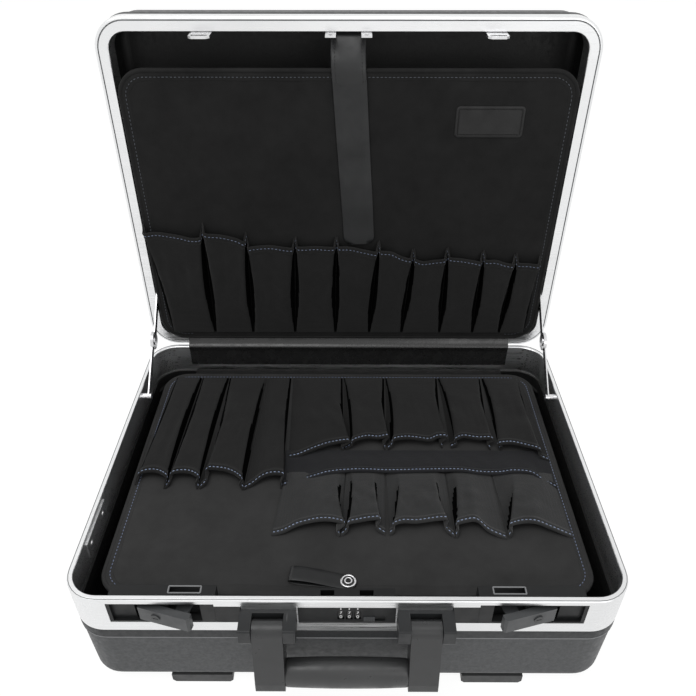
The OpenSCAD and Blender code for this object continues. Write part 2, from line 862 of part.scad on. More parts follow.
module lock_housing() color([0.1, 0.1, 0.11]) {
    front = 0.6;
    window = dial_t + 1;
    difference() {
        span([-lock_half + skin, front, lock_bottom + skin], [lock_half - skin, housing_depth, lock_top - skin]);
        for (i = [-1:1])
            translate([dial_x + i * dial_pitch, dial_mid[0], dial_mid[1]])
                rotate([0, 90, 0])
                    cylinder(h = window, r = dial_r + 0.4, center = true);
        pin_x(dial_x - 13, dial_x + 13, dial_mid, spindle_r);
        span([dial_x + 12, front - 1, -29], [dial_x + 31, front + 1.5, -22]);
        both_sides()
            span([11, slot_y, -20], [23, slot_y + slot_d, lock_top + 1]);
    }
}

module dial(i) {
    translate([dial_x + (i - 2) * dial_pitch - dial_t / 2, dial_mid[0], dial_mid[1]])
        rotate([0, 90, 0])
            difference() {
                union() {
                    translate([0, 0, dial_t * 0.2])
                        cylinder(h = dial_t * 0.6, r = dial_r, $fn = 10);
                    cylinder(h = dial_t, r = dial_r * 0.86);
                }
                translate([0, 0, -1])
                    cylinder(h = dial_t + 2, r = spindle_r + run);
            }
}

module dial_1() color([0.08, 0.08, 0.08]) dial(1);
module dial_2() color([0.08, 0.08, 0.08]) dial(2);
module dial_3() color([0.08, 0.08, 0.08]) dial(3);

module dial_spindle() color([0.7, 0.7, 0.7]) {
    pin_x(dial_x - 13, dial_x + 13, dial_mid, spindle_r);
}

module lock_slider() color([0.15, 0.15, 0.16]) {
    front = 0.6;
    difference() {
        span([dial_x + 12.3, front - 0.9, -28.6], [dial_x + 22, front + 1.4, -22.4]);
        for (i = [0:3])
            span([dial_x + 14.2 + i * 1.9, front - 1, -27.6], [dial_x + 15 + i * 1.9, front - 0.5, -23.4]);
    }
}

// the plates that close the frame between the latches and the handle brackets
module front_fillers() color([0.11, 0.11, 0.12]) {
    both_sides()
        span([bracket_in + bracket_w - 0.9, 0.3, hardware_bottom + skin], [latch_in - skin, frame_t, hardware_top - 3.1]);
}

// --- handle ---------------------------------------------------------------------------------------

module handle_bracket() {
    top = handle_pin[1] + bracket_h / 2;
    bottom = top - bracket_h;
    difference() {
        along_x(bracket_in, bracket_in + bracket_w)
            polygon(concat(
                [[0, bottom], [0, top]],
                arc([-bracket_d + 1.5, top - 1.5], 1.5, 90, 180, 3),
                arc([-bracket_d + 5, bottom + 5], 5, 180, 270)));
        span([bracket_in + cheek_w, -bracket_d - 1, bottom - 1], [bracket_in + bracket_w - cheek_w, -bracket_bar, top + 1]);
        pin_x(bracket_in + 2, bracket_in + bracket_w - 2, handle_pin, handle_pin_r);
    }
}

module handle_bracket_left() color([0.22, 0.23, 0.24]) {
    mirror([1, 0, 0])
        handle_bracket();
}

module handle_bracket_right() color([0.22, 0.23, 0.24]) {
    handle_bracket();
}

module handle_pins() color([0.6, 0.6, 0.6]) {
    both_sides()
        pin_x(bracket_in + 2, bracket_in + bracket_w - 2, handle_pin, handle_pin_r);
}

// the two arms, joined by a flat core bar inside the grip
module handle_arms() color([0.12, 0.13, 0.13]) {
    low = grip_mid[1] - 14;
    both_sides()
        difference() {
            along_x(arm_in, arm_out) {
                translate(handle_pin)
                    circle(knuckle_fit);
                polygon(concat(
                    [[handle_pin[0] + knuckle_fit * 0.9, handle_pin[1] - 3],
                        [handle_pin[0] - knuckle_fit, handle_pin[1] + 1],
                        [-bracket_d - 1.5, handle_pin[1] - 12], [-handle_reach + 0.6, low + 12]],
                    arc([-handle_reach + 4, low + 4], 4, 180, 270, 4),
                    arc([-12, low + 4], 4, 270, 360, 4)));
            }
            pin_x(arm_in - 1, arm_out + 1, handle_pin, handle_pin_r + run);
        }
    along_x(-arm_in - 0.5, arm_in + 0.5)
        translate(grip_mid)
            square([12, 14], center = true);
}

module grip_section(depth, height) {
    translate(grip_mid)
        rotate(-8)
            scale([depth / height, 1])
                circle(height / 2, $fn = 32);
}

// the soft grip: a barrel with flattened sides round the core bar
module handle_grip() color([0.1, 0.11, 0.11]) {
    half = arm_in - fit;
    difference() {
        hull()
            for (s = [[-1, 0.93], [-0.6, 0.98], [0, 1], [0.6, 0.98], [1, 0.93]])
                along_x(s[0] * half - 0.05, s[0] * half + 0.05)
                    grip_section(23 * s[1], 27.6 * s[1]);
        along_x(-arm_in, arm_in)
            translate(grip_mid)
                square([12, 14], center = true);
    }
}

// --- lid stays ------------------------------------------------------------------------------------

// a flat arm between two pivots in Y and Z, lying in X from x0 on, with a round end at the first one
module stay_arm(a, b, x0, t, length) {
    run_ab = b - a;
    along_x(x0, x0 + t) {
        translate(a)
            circle(stay_w / 2);
        translate(a)
            rotate(atan2(run_ab[1], run_ab[0]))
                translate([0, -stay_w / 2 + 0.1])
                    square([length, stay_w - 0.2]);
    }
}

// the lower arm carries the outer disc and the knee's pivot
module stay_lower() {
    difference() {
        union() {
            stay_arm(stay_base, stay_knee, lower_x, stay_t, norm(stay_knee - stay_base) - stay_disc_r / 2);
            translate([0, stay_knee[0], stay_knee[1]])
                rotate([0, 90, 0])
                    rotate_extrude()
                        polygon([[0, upper_x - 0.9], [stay_disc_r / 2, upper_x - 0.9], [stay_disc_r / 2, upper_x - 0.1],
                            [stay_pin_r, upper_x - 0.1], [stay_pin_r, lower_x - 0.1], [stay_disc_r, lower_x - 0.1],
                            [stay_disc_r, lower_x + stay_t + 0.4], [stay_disc_r - 0.6, lower_x + stay_t + 0.7],
                            [0, lower_x + stay_t + 0.7]]);
        }
        pin_x(lower_x - 1, lower_x + stay_t + 1, stay_base, stay_pin_r + run);
    }
}

module stay_upper() {
    difference() {
        union() {
            stay_arm(stay_lid_open, stay_knee, upper_x, stay_t, norm(stay_knee - stay_lid_open) - stay_disc_r / 2);
            pin_x(upper_x, upper_x + stay_t, stay_knee, stay_disc_r);
            pin_x(upper_x - 0.8, upper_x + 0.1, stay_lid_open, 3.6);
        }
        pin_x(upper_x - 2, upper_x + stay_t + 1, stay_knee, stay_pin_r + run);
    }
}

module stay_lower_right() color([0.8, 0.8, 0.8]) stay_lower();
module stay_upper_right() color([0.8, 0.8, 0.8]) stay_upper();
module stay_lower_left() color([0.8, 0.8, 0.8]) mirror([1, 0, 0]) stay_lower();
module stay_upper_left() color([0.8, 0.8, 0.8]) mirror([1, 0, 0]) stay_upper();

// studs through the base frame's inner wall, with a head inside each lower arm
module stay_base_studs() color([0.82, 0.82, 0.82]) {
    wall = case_w / 2 - base_rim_w;
    both_sides() {
        pin_x(lower_x - 0.6, wall, stay_base, stay_pin_r);
        pin_x(lower_x + stay_t + 0.15, wall, stay_base, 3.6);
        pin_x(lower_x - 2.4, lower_x - 0.15, stay_base, 4);
    }
}

// rivets in the lid's return wall that the open ends of the upper arms lie against
module stay_lid_studs() color([0.82, 0.82, 0.82]) {
    on_lid()
        both_sides() {
            pin_x(upper_x + stay_t + 0.1, lid_opening + frame_t, stay_lid, stay_pin_r);
            pin_x(lid_opening + frame_t, lid_opening + frame_t + 1.2, stay_lid, 3.6);
        }
}

// --- the case -------------------------------------------------------------------------------------

place() {
    base_shell();
    base_frame();
    frame_joiner();
    feet();
    board_rails();
    base_board();
    base_board_binding();
    base_pockets_left();
    base_pockets_back();
    base_pocket_hem();
    base_pockets_front();
    pull_strap();
    pull_strap_snap();
    lid_shell();
    lid_frame();
    badge_plate();
    lid_board();
    lid_board_binding();
    lid_pockets();
    label_patch();
    lid_strap();
    hinge_base_leaf();
    hinge_lid_leaf();
    hinge_pin();
    hinge_cover();
    latch_housing_left();
    latch_housing_right();
    latch_lever_left();
    latch_lever_right();
    latch_pins();
    key_plug_left();
    key_plug_right();
    latch_keepers();
    lock_keepers();
    lock_housing();
    dial_1();
    dial_2();
    dial_3();
    dial_spindle();
    lock_slider();
    front_fillers();
    handle_bracket_left();
    handle_bracket_right();
    handle_arms();
    handle_grip();
    handle_pins();
    stay_lower_left();
    stay_lower_right();
    stay_upper_left();
    stay_upper_right();
    stay_base_studs();
    stay_lid_studs();
}
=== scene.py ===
"""Looks of the hard tool case: soft parts, sewing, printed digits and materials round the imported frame."""
import math
import random

import bmesh
import bpy
import numpy as np
from mathutils import Matrix, Vector


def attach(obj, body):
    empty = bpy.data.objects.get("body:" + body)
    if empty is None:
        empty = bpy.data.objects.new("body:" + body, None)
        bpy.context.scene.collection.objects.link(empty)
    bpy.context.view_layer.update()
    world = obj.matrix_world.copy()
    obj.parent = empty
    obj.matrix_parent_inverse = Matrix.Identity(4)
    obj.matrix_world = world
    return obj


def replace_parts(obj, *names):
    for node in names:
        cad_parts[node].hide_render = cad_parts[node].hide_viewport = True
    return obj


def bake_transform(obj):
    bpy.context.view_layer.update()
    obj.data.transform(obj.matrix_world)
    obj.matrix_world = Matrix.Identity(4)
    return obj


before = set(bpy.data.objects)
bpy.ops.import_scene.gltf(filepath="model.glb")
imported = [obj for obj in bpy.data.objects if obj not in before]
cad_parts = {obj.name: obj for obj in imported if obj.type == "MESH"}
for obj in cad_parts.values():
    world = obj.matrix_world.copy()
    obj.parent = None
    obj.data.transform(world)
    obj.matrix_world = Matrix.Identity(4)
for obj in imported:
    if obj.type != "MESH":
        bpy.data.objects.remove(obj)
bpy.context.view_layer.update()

# --- places, in millimetres in the case's frame: Y from the front face back, Z = 0 at the seam ---
MID_Y, FLOOR_Z = 206.65, -135.0
HINGE_Y, SEAM = 375.0, 0.3     # the two frames are this far apart when the case is shut
HALF_W, HALF_D, CORNER = 245, 187.5, 32   # outline of the frames
LEVER_MID = -17.85          # middle of the latch levers, in Z
BASE_FACE = -31.0           # face of the base board
LID_FACE = 365.8            # face of the lid board with the lid open, in Y
BOARD_HALF, BOARD_R, BEAD_R = 228.0, 28.0, 2.6
BASE_EDGES = (27.0, 355.0)  # front and back of the base board, in Y
LID_EDGES = (15.0, 331.0)   # foot and head of the lid board, in Z
BASE_END, LID_END = 343.0, 27.0   # sewn ends of the pockets
CLOTH = 1.1
STITCH_L, STITCH_GAP, STITCH_R = 2.6, 1.4, 0.36
DIAL_MID, DIAL_R, DIAL_PITCH, DIAL_X = (8.0, -21.0), 9.0, 7.2, 2.0


def metres(points):
    return (np.asarray(points, float).reshape(-1, 3) - (0, MID_Y, FLOOR_Z)) / 1000


def P(x, y, z):
    return Vector(metres([(x, y, z)])[0])


def on_base(p):
    """(x, y, height above the base board) to the case's frame"""
    return p + (0, 0, BASE_FACE)


def on_lid(p):
    """(x, z, height in front of the lid board) to the case's frame, lid open"""
    return np.stack([p[..., 0], LID_FACE - p[..., 2], p[..., 1]], -1)


# --- meshes --------------------------------------------------------------------------------------
class Solid:
    """Points and faces in the case's frame that become one piece."""

    def __init__(self):
        self.points, self.faces, self.count, self.shade = [], [], 0, []

    def add(self, points, faces, shade=None):
        points = np.asarray(points, float).reshape(-1, 3)
        self.points.append(points)
        self.shade.append(np.zeros(len(points)) if shade is None else np.asarray(shade, float).ravel())
        self.faces += [tuple(i + self.count for i in f) for f in faces]
        self.count += len(points)
        return self

    def make(self, name, material, body, slot, sharp=50, shade_look=None):
        mesh = bpy.data.meshes.new(name)
        mesh.from_pydata([tuple(p) for p in metres(np.concatenate(self.points))], [], self.faces)
        made = bmesh.new()
        made.from_mesh(mesh)
        bmesh.ops.recalc_face_normals(made, faces=made.faces)
        made.to_mesh(mesh)
        made.free()
        shade = np.concatenate(self.shade)
        # painted shade: the shade values mark the pockets' flanks and are kept with the points to darken the
        # cloth there
        if shade.any():
            mesh.attributes.new("flank_shade", "FLOAT", "POINT").data.foreach_set("value", shade)
        mesh.materials.append(material)
        # faces mostly in the painted shade take the second, near-black material
        if shade_look:
            mesh.materials.append(shade_look)
            for face in mesh.polygons:
                face.material_index = int(shade[list(face.vertices)].mean() > 0.7)
        mesh.shade_smooth()
        mesh.set_sharp_from_angle(angle=math.radians(sharp))
        piece = bpy.data.objects.new(name, mesh)
        bpy.context.scene.collection.objects.link(piece)
        if body:
            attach(piece, body)
        return piece


def grid_faces(rows, cols, start=0, wrap=False):
    last = cols if wrap else cols - 1
    return [(start + r * cols + c, start + r * cols + (c + 1) % cols,
             start + (r + 1) * cols + (c + 1) % cols, start + (r + 1) * cols + c)
            for r in range(rows - 1) for c in range(last)]


def skin(outer, inner):
    """A closed solid between two grids of points."""
    rows, cols = outer.shape[:2]
    n = rows * cols
    rim = [*range(cols), *(r * cols + cols - 1 for r in range(1, rows)),
           *((rows - 1) * cols + c for c in range(cols - 2, -1, -1)),
           *(r * cols for r in range(rows - 2, 0, -1))]
    sides = [(a, b, n + b, n + a) for a, b in zip(rim, rim[1:] + rim[:1])]
    return (np.concatenate([outer.reshape(-1, 3), inner.reshape(-1, 3)]),
            grid_faces(rows, cols) + [f[::-1] for f in grid_faces(rows, cols, n)] + sides)


def normals(surface, up):
    """Unit normals of a grid of points, on the side that up points to on the whole."""
    n = np.cross(np.gradient(surface, axis=1), np.gradient(surface, axis=0))
    n /= np.linalg.norm(n, axis=-1, keepdims=True) + 1e-9
    return n if (n @ np.array(up, float)).mean() > 0 else -n


def smooth_path(points, n, dense=14):
    """n points, evenly spaced, on a smooth curve through the given ones."""
    p = np.array(points, float)
    t = np.concatenate([[0], np.cumsum(np.sqrt(np.linalg.norm(np.diff(p, axis=0), axis=1)))])
    slope = np.diff(p, axis=0) / np.diff(t)[:, None]
    gap = np.diff(t)[:, None]
    inner = (slope[1:] * gap[:-1] + slope[:-1] * gap[1:]) / (gap[1:] + gap[:-1])
    m = np.concatenate([slope[:1], inner, slope[-1:]])
    out = []
    for i in range(len(p) - 1):
        s = np.linspace(0, 1, dense, endpoint=False)[:, None]
        h = t[i + 1] - t[i]
        out.append((2 * s**3 - 3 * s**2 + 1) * p[i] + (s**3 - 2 * s**2 + s) * h * m[i]
                   + (3 * s**2 - 2 * s**3) * p[i + 1] + (s**3 - s**2) * h * m[i + 1])
    return resample(np.concatenate([*out, p[-1:]]), n)


def lengths(path):
    return np.concatenate([[0], np.cumsum(np.linalg.norm(np.diff(path, axis=0), axis=1))])


def resample(path, n):
    s = lengths(path)
    at = np.linspace(0, s[-1], n)
    return np.stack([np.interp(at, s, path[:, k]) for k in range(path.shape[1])], -1)


def ripple(x, y, seed, size):
    """A smooth random field between about -1 and 1, whose waves are about as long as size."""
    draw = random.Random(seed)
    total = 0
    for _ in range(6):
        a, k, phase = draw.uniform(0, 6.28), 6.28 / (size * draw.uniform(0.6, 1.8)), draw.uniform(0, 6.28)
        total = total + np.sin(k * (x * math.cos(a) + y * math.sin(a)) + phase)
    return total / 3.5


def outline(hw, hd, r, inset, bend=9, step=9.0):
    """The closed outline of a rounded rectangle, drawn in by inset, always with the same number of points."""
    corners = []
    for q, (sx, sy) in enumerate(((1, 1), (-1, 1), (-1, -1), (1, -1))):
        a = np.radians(90 * q + np.linspace(0, 90, bend))
        corners.append(np.stack([sx * (hw - r) + (r - inset) * np.cos(a),
                                 sy * (hd - r) + (r - inset) * np.sin(a)], -1))
    out = []
    for q in range(4):
        a, b = corners[q][-1], corners[(q + 1) % 4][0]
        run = 2 * ((hw if q % 2 == 0 else hd) - r)
        n = max(2, round(run / step))
        out += [corners[q], a + (b - a) * np.linspace(0, 1, n + 1)[1:-1, None]]
    return np.concatenate(out)


def rings(hw, hd, r, mid, profile, place, capped=False, wobble=0.0, seed=1):
    """Sweeps a profile of (inset, height) round a rounded rectangle."""
    loops = []
    for inset, h in profile:
        p = outline(hw, hd, r, inset)
        if wobble:
            base = outline(hw, hd, r, 0)
            sway = wobble * ripple(base[:, 0], base[:, 1], seed, 30)
            p = outline(hw, hd, r, inset) * (1 - sway[:, None] * (inset > 5) / hw)
            h = h + 0.3 * sway * (inset > 5) * np.sign(h + 2)
        loops.append(np.stack([p[:, 0] + mid[0], p[:, 1] + mid[1], np.full(len(p), 0.0) + h], -1))
    pts = np.stack(loops)
    rows, cols = pts.shape[:2]
    faces = grid_faces(rows, cols, wrap=True)
    if capped:
        faces += [tuple(range(cols))[::-1], tuple((rows - 1) * cols + c for c in range(cols))]
    else:
        faces += [((rows - 1) * cols + c, (rows - 1) * cols + (c + 1) % cols, (c + 1) % cols, c)
                  for c in range(cols)]
    return place(pts), faces


def stitches(line, up, pitch=STITCH_L + STITCH_GAP, length=STITCH_L, r=STITCH_R, lift=0.12):
    """Thread along a line on a surface: short spindles that dip into it at both ends."""
    s = lengths(line)
    count = max(1, int(s[-1] / pitch))
    solid = Solid()
    for at in (np.arange(count) + 0.5) * s[-1] / count:
        here = np.array([np.interp(at, s, line[:, k]) for k in range(3)])
        ahead = np.array([np.interp(at + 0.5, s, line[:, k]) for k in range(3)])
        back = np.array([np.interp(at - 0.5, s, line[:, k]) for k in range(3)])
        n = np.array([np.interp(at, s, up[:, k]) for k in range(3)])
        along = (ahead - back) / (np.linalg.norm(ahead - back) + 1e-9)
        side = np.cross(along, n)
        side /= np.linalg.norm(side) + 1e-9
        n = np.cross(side, along)
        ring = [(-0.5, 0.25, -0.3), (-0.3, 1, lift), (0.3, 1, lift), (0.5, 0.25, -0.3)]
        angles = np.radians(np.arange(6) * 60)
        pts = [here + along * length * t + n * h + r * k * (np.cos(a) * side + np.sin(a) * n)
               for t, k, h in ring for a in angles]
        solid.add(pts, grid_faces(4, 6, wrap=True) + [tuple(range(6)), tuple(range(18, 24))])
    return solid


def tape(path, width_dir, up, half, section, tips=(0, 0)):
    """A flat strap along a path: section is (share of half width, height) round it, half its half width,
    tips the corner radii of its two ends."""
    s = lengths(path)
    loops = []
    for i, p in enumerate(path):
        w = half
        for r, d in ((tips[0], s[i]), (tips[1], s[-1] - s[i])):
            if r and d < r:
                w = min(w, half - r + math.sqrt(max(r * r - (r - d) ** 2, 0.01)))
        loops.append([p + width_dir[i] * k * w + up[i] * h for k, h in section])
    pts = np.array(loops)
    rows, cols = pts.shape[:2]
    faces = grid_faces(rows, cols, wrap=True) + [tuple(range(cols))[::-1],
                                                 tuple((rows - 1) * cols + c for c in range(cols))]
    return pts, faces


def flat_section(t, edge=0.06):
    """Section of a strap t thick with rounded edges, its underside at height 0."""
    top = [(-1, 0.5 * t), (-1 + edge * 0.3, 0.85 * t), (-1 + edge, t), (-0.5, t), (0, t), (0.5, t),
           (1 - edge, t), (1 - edge * 0.3, 0.85 * t), (1, 0.5 * t)]
    return top + [(1 - edge * 0.3, 0.15 * t), (1 - edge, 0), (0, 0), (-1 + edge, 0),
                  (-1 + edge * 0.3, 0.15 * t)]


def extruded(loop, x0, x1):
    """A prism along X from a loop of (y, z)."""
    n = len(loop)
    pts = [(x, y, z) for x in (x0, x1) for y, z in loop]
    return pts, [tuple(range(n))[::-1], tuple(range(n, 2 * n))] + [(i, (i + 1) % n, n + (i + 1) % n, n + i)
                                                                  for i in range(n)]


# --- finishes ------------------------------------------------------------------------------------
class Finish:
    """A node material: one principled shader with procedural colour, roughness and relief."""

    def __init__(self, name, colour, roughness, specular=0.5, metallic=0.0, **sockets):
        self.material = bpy.data.materials.new(name)
        self.material.use_nodes = True
        self.nodes, self.links = self.material.node_tree.nodes, self.material.node_tree.links
        self.shader = self.nodes["Principled BSDF"]
        self.place = self.nodes.new("ShaderNodeTexCoord").outputs["Object"]
        self.colour = (*colour, 1)
        values = {"Base Color": self.colour, "Roughness": roughness, "Specular IOR Level": specular,
                  "Metallic": metallic, **sockets}
        for key, value in values.items():
            self.shader.inputs[key].default_value = value
        self.relief = None

    def link(self, value, socket):
        if isinstance(value, bpy.types.NodeSocket):
            self.links.new(value, socket)
        else:
            socket.default_value = value

    def math(self, operation, a, b=0.0):
        node = self.nodes.new("ShaderNodeMath")
        node.operation = operation
        self.link(a, node.inputs[0])
        self.link(b, node.inputs[1])
        return node.outputs[0]

    def spread(self, stretch):
        node = self.nodes.new("ShaderNodeVectorMath")
        node.operation = "MULTIPLY"
        self.links.new(self.place, node.inputs[0])
        node.inputs[1].default_value = stretch
        return node.outputs[0]

    def noise(self, size, detail=3.0, rough=0.55, stretch=(1, 1, 1)):
        """Noise with features about size metres across."""
        node = self.nodes.new("ShaderNodeTexNoise")
        self.links.new(self.spread(stretch), node.inputs["Vector"])
        node.inputs["Scale"].default_value = 0.6 / size
        node.inputs["Detail"].default_value = detail
        node.inputs["Roughness"].default_value = rough
        return node.outputs["Fac"]

    def cells(self, size, feature="SMOOTH_F1"):
        node = self.nodes.new("ShaderNodeTexVoronoi")
        node.feature = feature
        self.links.new(self.place, node.inputs["Vector"])
        node.inputs["Scale"].default_value = 1 / size
        return node.outputs["Distance"]

    def threads(self, size):
        """Height of a plain weave whose threads are size metres apart."""
        waves = []
        for axis in ("X", "Y", "Z"):
            node = self.nodes.new("ShaderNodeTexWave")
            node.bands_direction = axis
            self.links.new(self.place, node.inputs["Vector"])
            node.inputs["Scale"].default_value = 0.314 / size
            node.inputs["Distortion"].default_value = 0.4
            node.inputs["Detail Scale"].default_value = 200
            waves.append(node.outputs["Fac"])
        return self.math("MULTIPLY", waves[0], self.math("MAXIMUM", waves[1], waves[2]))

    def held(self, name):
        """A number kept with the points of the mesh."""
        node = self.nodes.new("ShaderNodeAttribute")
        node.attribute_name = name
        return node.outputs["Fac"]

    def along(self, axis, start, end):
        """1 where the place along an axis is between start and end, in metres."""
        node = self.nodes.new("ShaderNodeSeparateXYZ")
        self.links.new(self.place, node.inputs[0])
        at = node.outputs[axis]
        return self.math("MULTIPLY", self.math("GREATER_THAN", at, start), self.math("LESS_THAN", at, end))

    def between(self, fac, low, high, start=0.3, end=0.7):
        node = self.nodes.new("ShaderNodeMapRange")
        self.link(fac, node.inputs["Value"])
        for key, value in (("From Min", start), ("From Max", end), ("To Min", low), ("To Max", high)):
            node.inputs[key].default_value = value
        return node.outputs["Result"]

    def tint(self, fac, colour):
        """Mixes a colour in by a factor, over what is there."""
        node = self.nodes.new("ShaderNodeMix")
        node.data_type = "RGBA"
        self.link(fac, node.inputs["Factor"])
        base = self.shader.inputs["Base Color"]
        if base.is_linked:
            self.links.new(base.links[0].from_socket, node.inputs["A"])
        else:
            node.inputs["A"].default_value = self.colour
        node.inputs["B"].default_value = (*colour, 1)
        self.links.new(node.outputs["Result"], base)
        return self

    def gloss(self, fac, low, high):
        self.link(self.between(fac, low, high), self.shader.inputs["Roughness"])
        return self

    def bump(self, height, depth, strength=1.0):
        """Relief depth metres deep, on top of any relief before it."""
        node = self.nodes.new("ShaderNodeBump")
        node.inputs["Strength"].default_value = strength
        node.inputs["Distance"].default_value = depth
        self.link(height, node.inputs["Height"])
        if self.relief:
            self.links.new(self.relief, node.inputs["Normal"])
        self.relief = node.outputs["Normal"]
        self.links.new(self.relief, self.shader.inputs["Normal"])
        return self

    def lined(self, middle, colour):
        """Gives the faces that look towards a middle point another, darker colour: the inside of a shell, its
        dark lining together with painted shade.
        """
        coord = self.nodes.new("ShaderNodeTexCoord")
        way = self.nodes.new("ShaderNodeVectorMath")
        way.operation = "SUBTRACT"
        way.inputs[0].default_value = middle
        self.links.new(coord.outputs["Object"], way.inputs[1])
        dot = self.nodes.new("ShaderNodeVectorMath")
        dot.operation = "DOT_PRODUCT"
        self.links.new(way.outputs[0], dot.inputs[0])
        self.links.new(coord.outputs["Normal"], dot.inputs[1])
        return self.tint(self.math("GREATER_THAN", dot.outputs["Value"], 0.0), colour)


def grey(v, cool=0.0):
    return (v * (1 - cool), v, v * (1 + cool))


def scuffed(finish, light, size=0.035):
    """Faint rubbed patches and fine scratches."""
    rubbed = finish.between(finish.noise(size, 6, 0.65), 0.0, 0.5, 0.55, 0.8)
    finish.tint(rubbed, light)
    scratches = finish.between(finish.noise(0.004, 2, 0.6, (1, 0.06, 0.9)), 0.0, 0.35, 0.72, 0.8)
    return finish.tint(scratches, light)


def pebbled(name, colour, middle, axis, band):
    """Grained shell; its smooth lip lies between the two places of band along an axis and is coloured darker."""
    f = Finish(name, colour, 0.5, 0.42)
    scuffed(f, tuple(1.5 * c for c in colour))
    f.tint(f.between(f.noise(0.0012, 2), 0.0, 0.35), tuple(1.8 * c for c in colour))
    # the lip band is coloured darker
    f.tint(f.math("MULTIPLY", f.along(axis, *band), 0.75), grey(0.012, 0.1))
    f.gloss(f.noise(0.0025, 3), 0.42, 0.62)
    f.bump(f.noise(0.02, 2), 0.0003, 0.3).bump(f.noise(0.0012, 3, 0.6), 0.00018, 0.8)
    # the shell's inside: a dark lining, made darker still with painted shade
    return f.lined(middle, grey(0.013)).material


def anodised(name, colour, rough=0.3):
    f = Finish(name, colour, rough, 0.5, 1.0)
    f.tint(f.between(f.noise(0.05, 4), 0.0, 0.5), tuple(0.86 * c for c in colour))
    f.tint(f.between(f.noise(0.3, 2), 0.0, 0.45, 0.5, 0.7), tuple(0.7 * c for c in colour))
    brushed = f.noise(0.0006, 3, 0.6, (0.02, 1, 1))
    f.gloss(brushed, rough - 0.08, rough + 0.14)
    return f.bump(brushed, 0.00002, 0.5).material


def moulded(name, colour, rough=0.42, specular=0.4):
    f = Finish(name, colour, rough, specular)
    scuffed(f, tuple(1.9 * c for c in colour), 0.02)
    f.gloss(f.noise(0.006, 4), rough - 0.08, rough + 0.12)
    return f.bump(f.noise(0.0007, 2), 0.00006, 0.6).material


def painted(name, colour, rough=0.38):
    f = Finish(name, colour, rough, 0.28)
    f.tint(f.between(f.noise(0.012, 5), 0.0, 0.6), tuple(1.35 * c for c in colour))
    scratches = f.between(f.noise(0.003, 2, 0.6, (1, 0.1, 0.8)), 0.0, 0.7, 0.74, 0.8)
    f.tint(scratches, grey(0.3)).gloss(f.noise(0.004, 4), rough - 0.08, rough + 0.14)
    return f.bump(f.noise(0.0011, 2), 0.00005, 0.6).material


def leather(name, colour, rough, grain=0.0011, depth=0.00012, specular=0.3):
    f = Finish(name, colour, rough, specular)
    f.tint(f.between(f.noise(0.03, 4), 0.0, 0.6), tuple(1.5 * c for c in colour))
    f.gloss(f.noise(0.007, 3), rough - 0.1, rough + 0.14)
    return f.bump(f.noise(0.012, 3), 0.0004, 0.4).bump(f.cells(grain), depth, 0.7).material


def woven(name, colour, size=0.0009, specular=0.12, sheen=0.12, folds=0.0006):
    f = Finish(name, colour, 0.85, specular, **{"Sheen Weight": sheen, "Sheen Roughness": 0.6})
    weave = f.threads(size)
    f.tint(f.between(weave, 0.0, 0.7, 0.2, 0.9), tuple(1.9 * c for c in colour))
    f.tint(f.between(f.noise(0.02, 5), 0.0, 0.5), tuple(0.6 * c for c in colour))
    f.tint(f.between(f.noise(0.0005, 2), 0.0, 0.5, 0.66, 0.8), tuple(4 * c for c in colour))
    # painted shade: darkens the cloth to near black where the mesh marks a pocket's flank
    f.tint(f.held("flank_shade"), grey(0.0012))
    return f.bump(f.noise(0.011, 3), folds, 0.6).bump(weave, 0.00018, 0.8).material


def thread(name, colour):
    f = Finish(name, colour, 0.6, 0.3, **{"Sheen Weight": 0.3})
    f.tint(f.between(f.noise(0.003, 2), 0.0, 0.7), tuple(0.6 * c for c in colour))
    return f.bump(f.noise(0.0004, 2, 0.5, (1, 1, 0.3)), 0.0001, 0.8).material


def bright(name, colour, rough=0.22):
    f = Finish(name, colour, rough, 0.5, 1.0)
    f.tint(f.between(f.noise(0.008, 4), 0.0, 0.6), tuple(0.78 * c for c in colour))
    f.gloss(f.noise(0.0015, 3), rough - 0.06, rough + 0.15)
    return f.bump(f.noise(0.0009, 2), 0.00003, 0.5).material


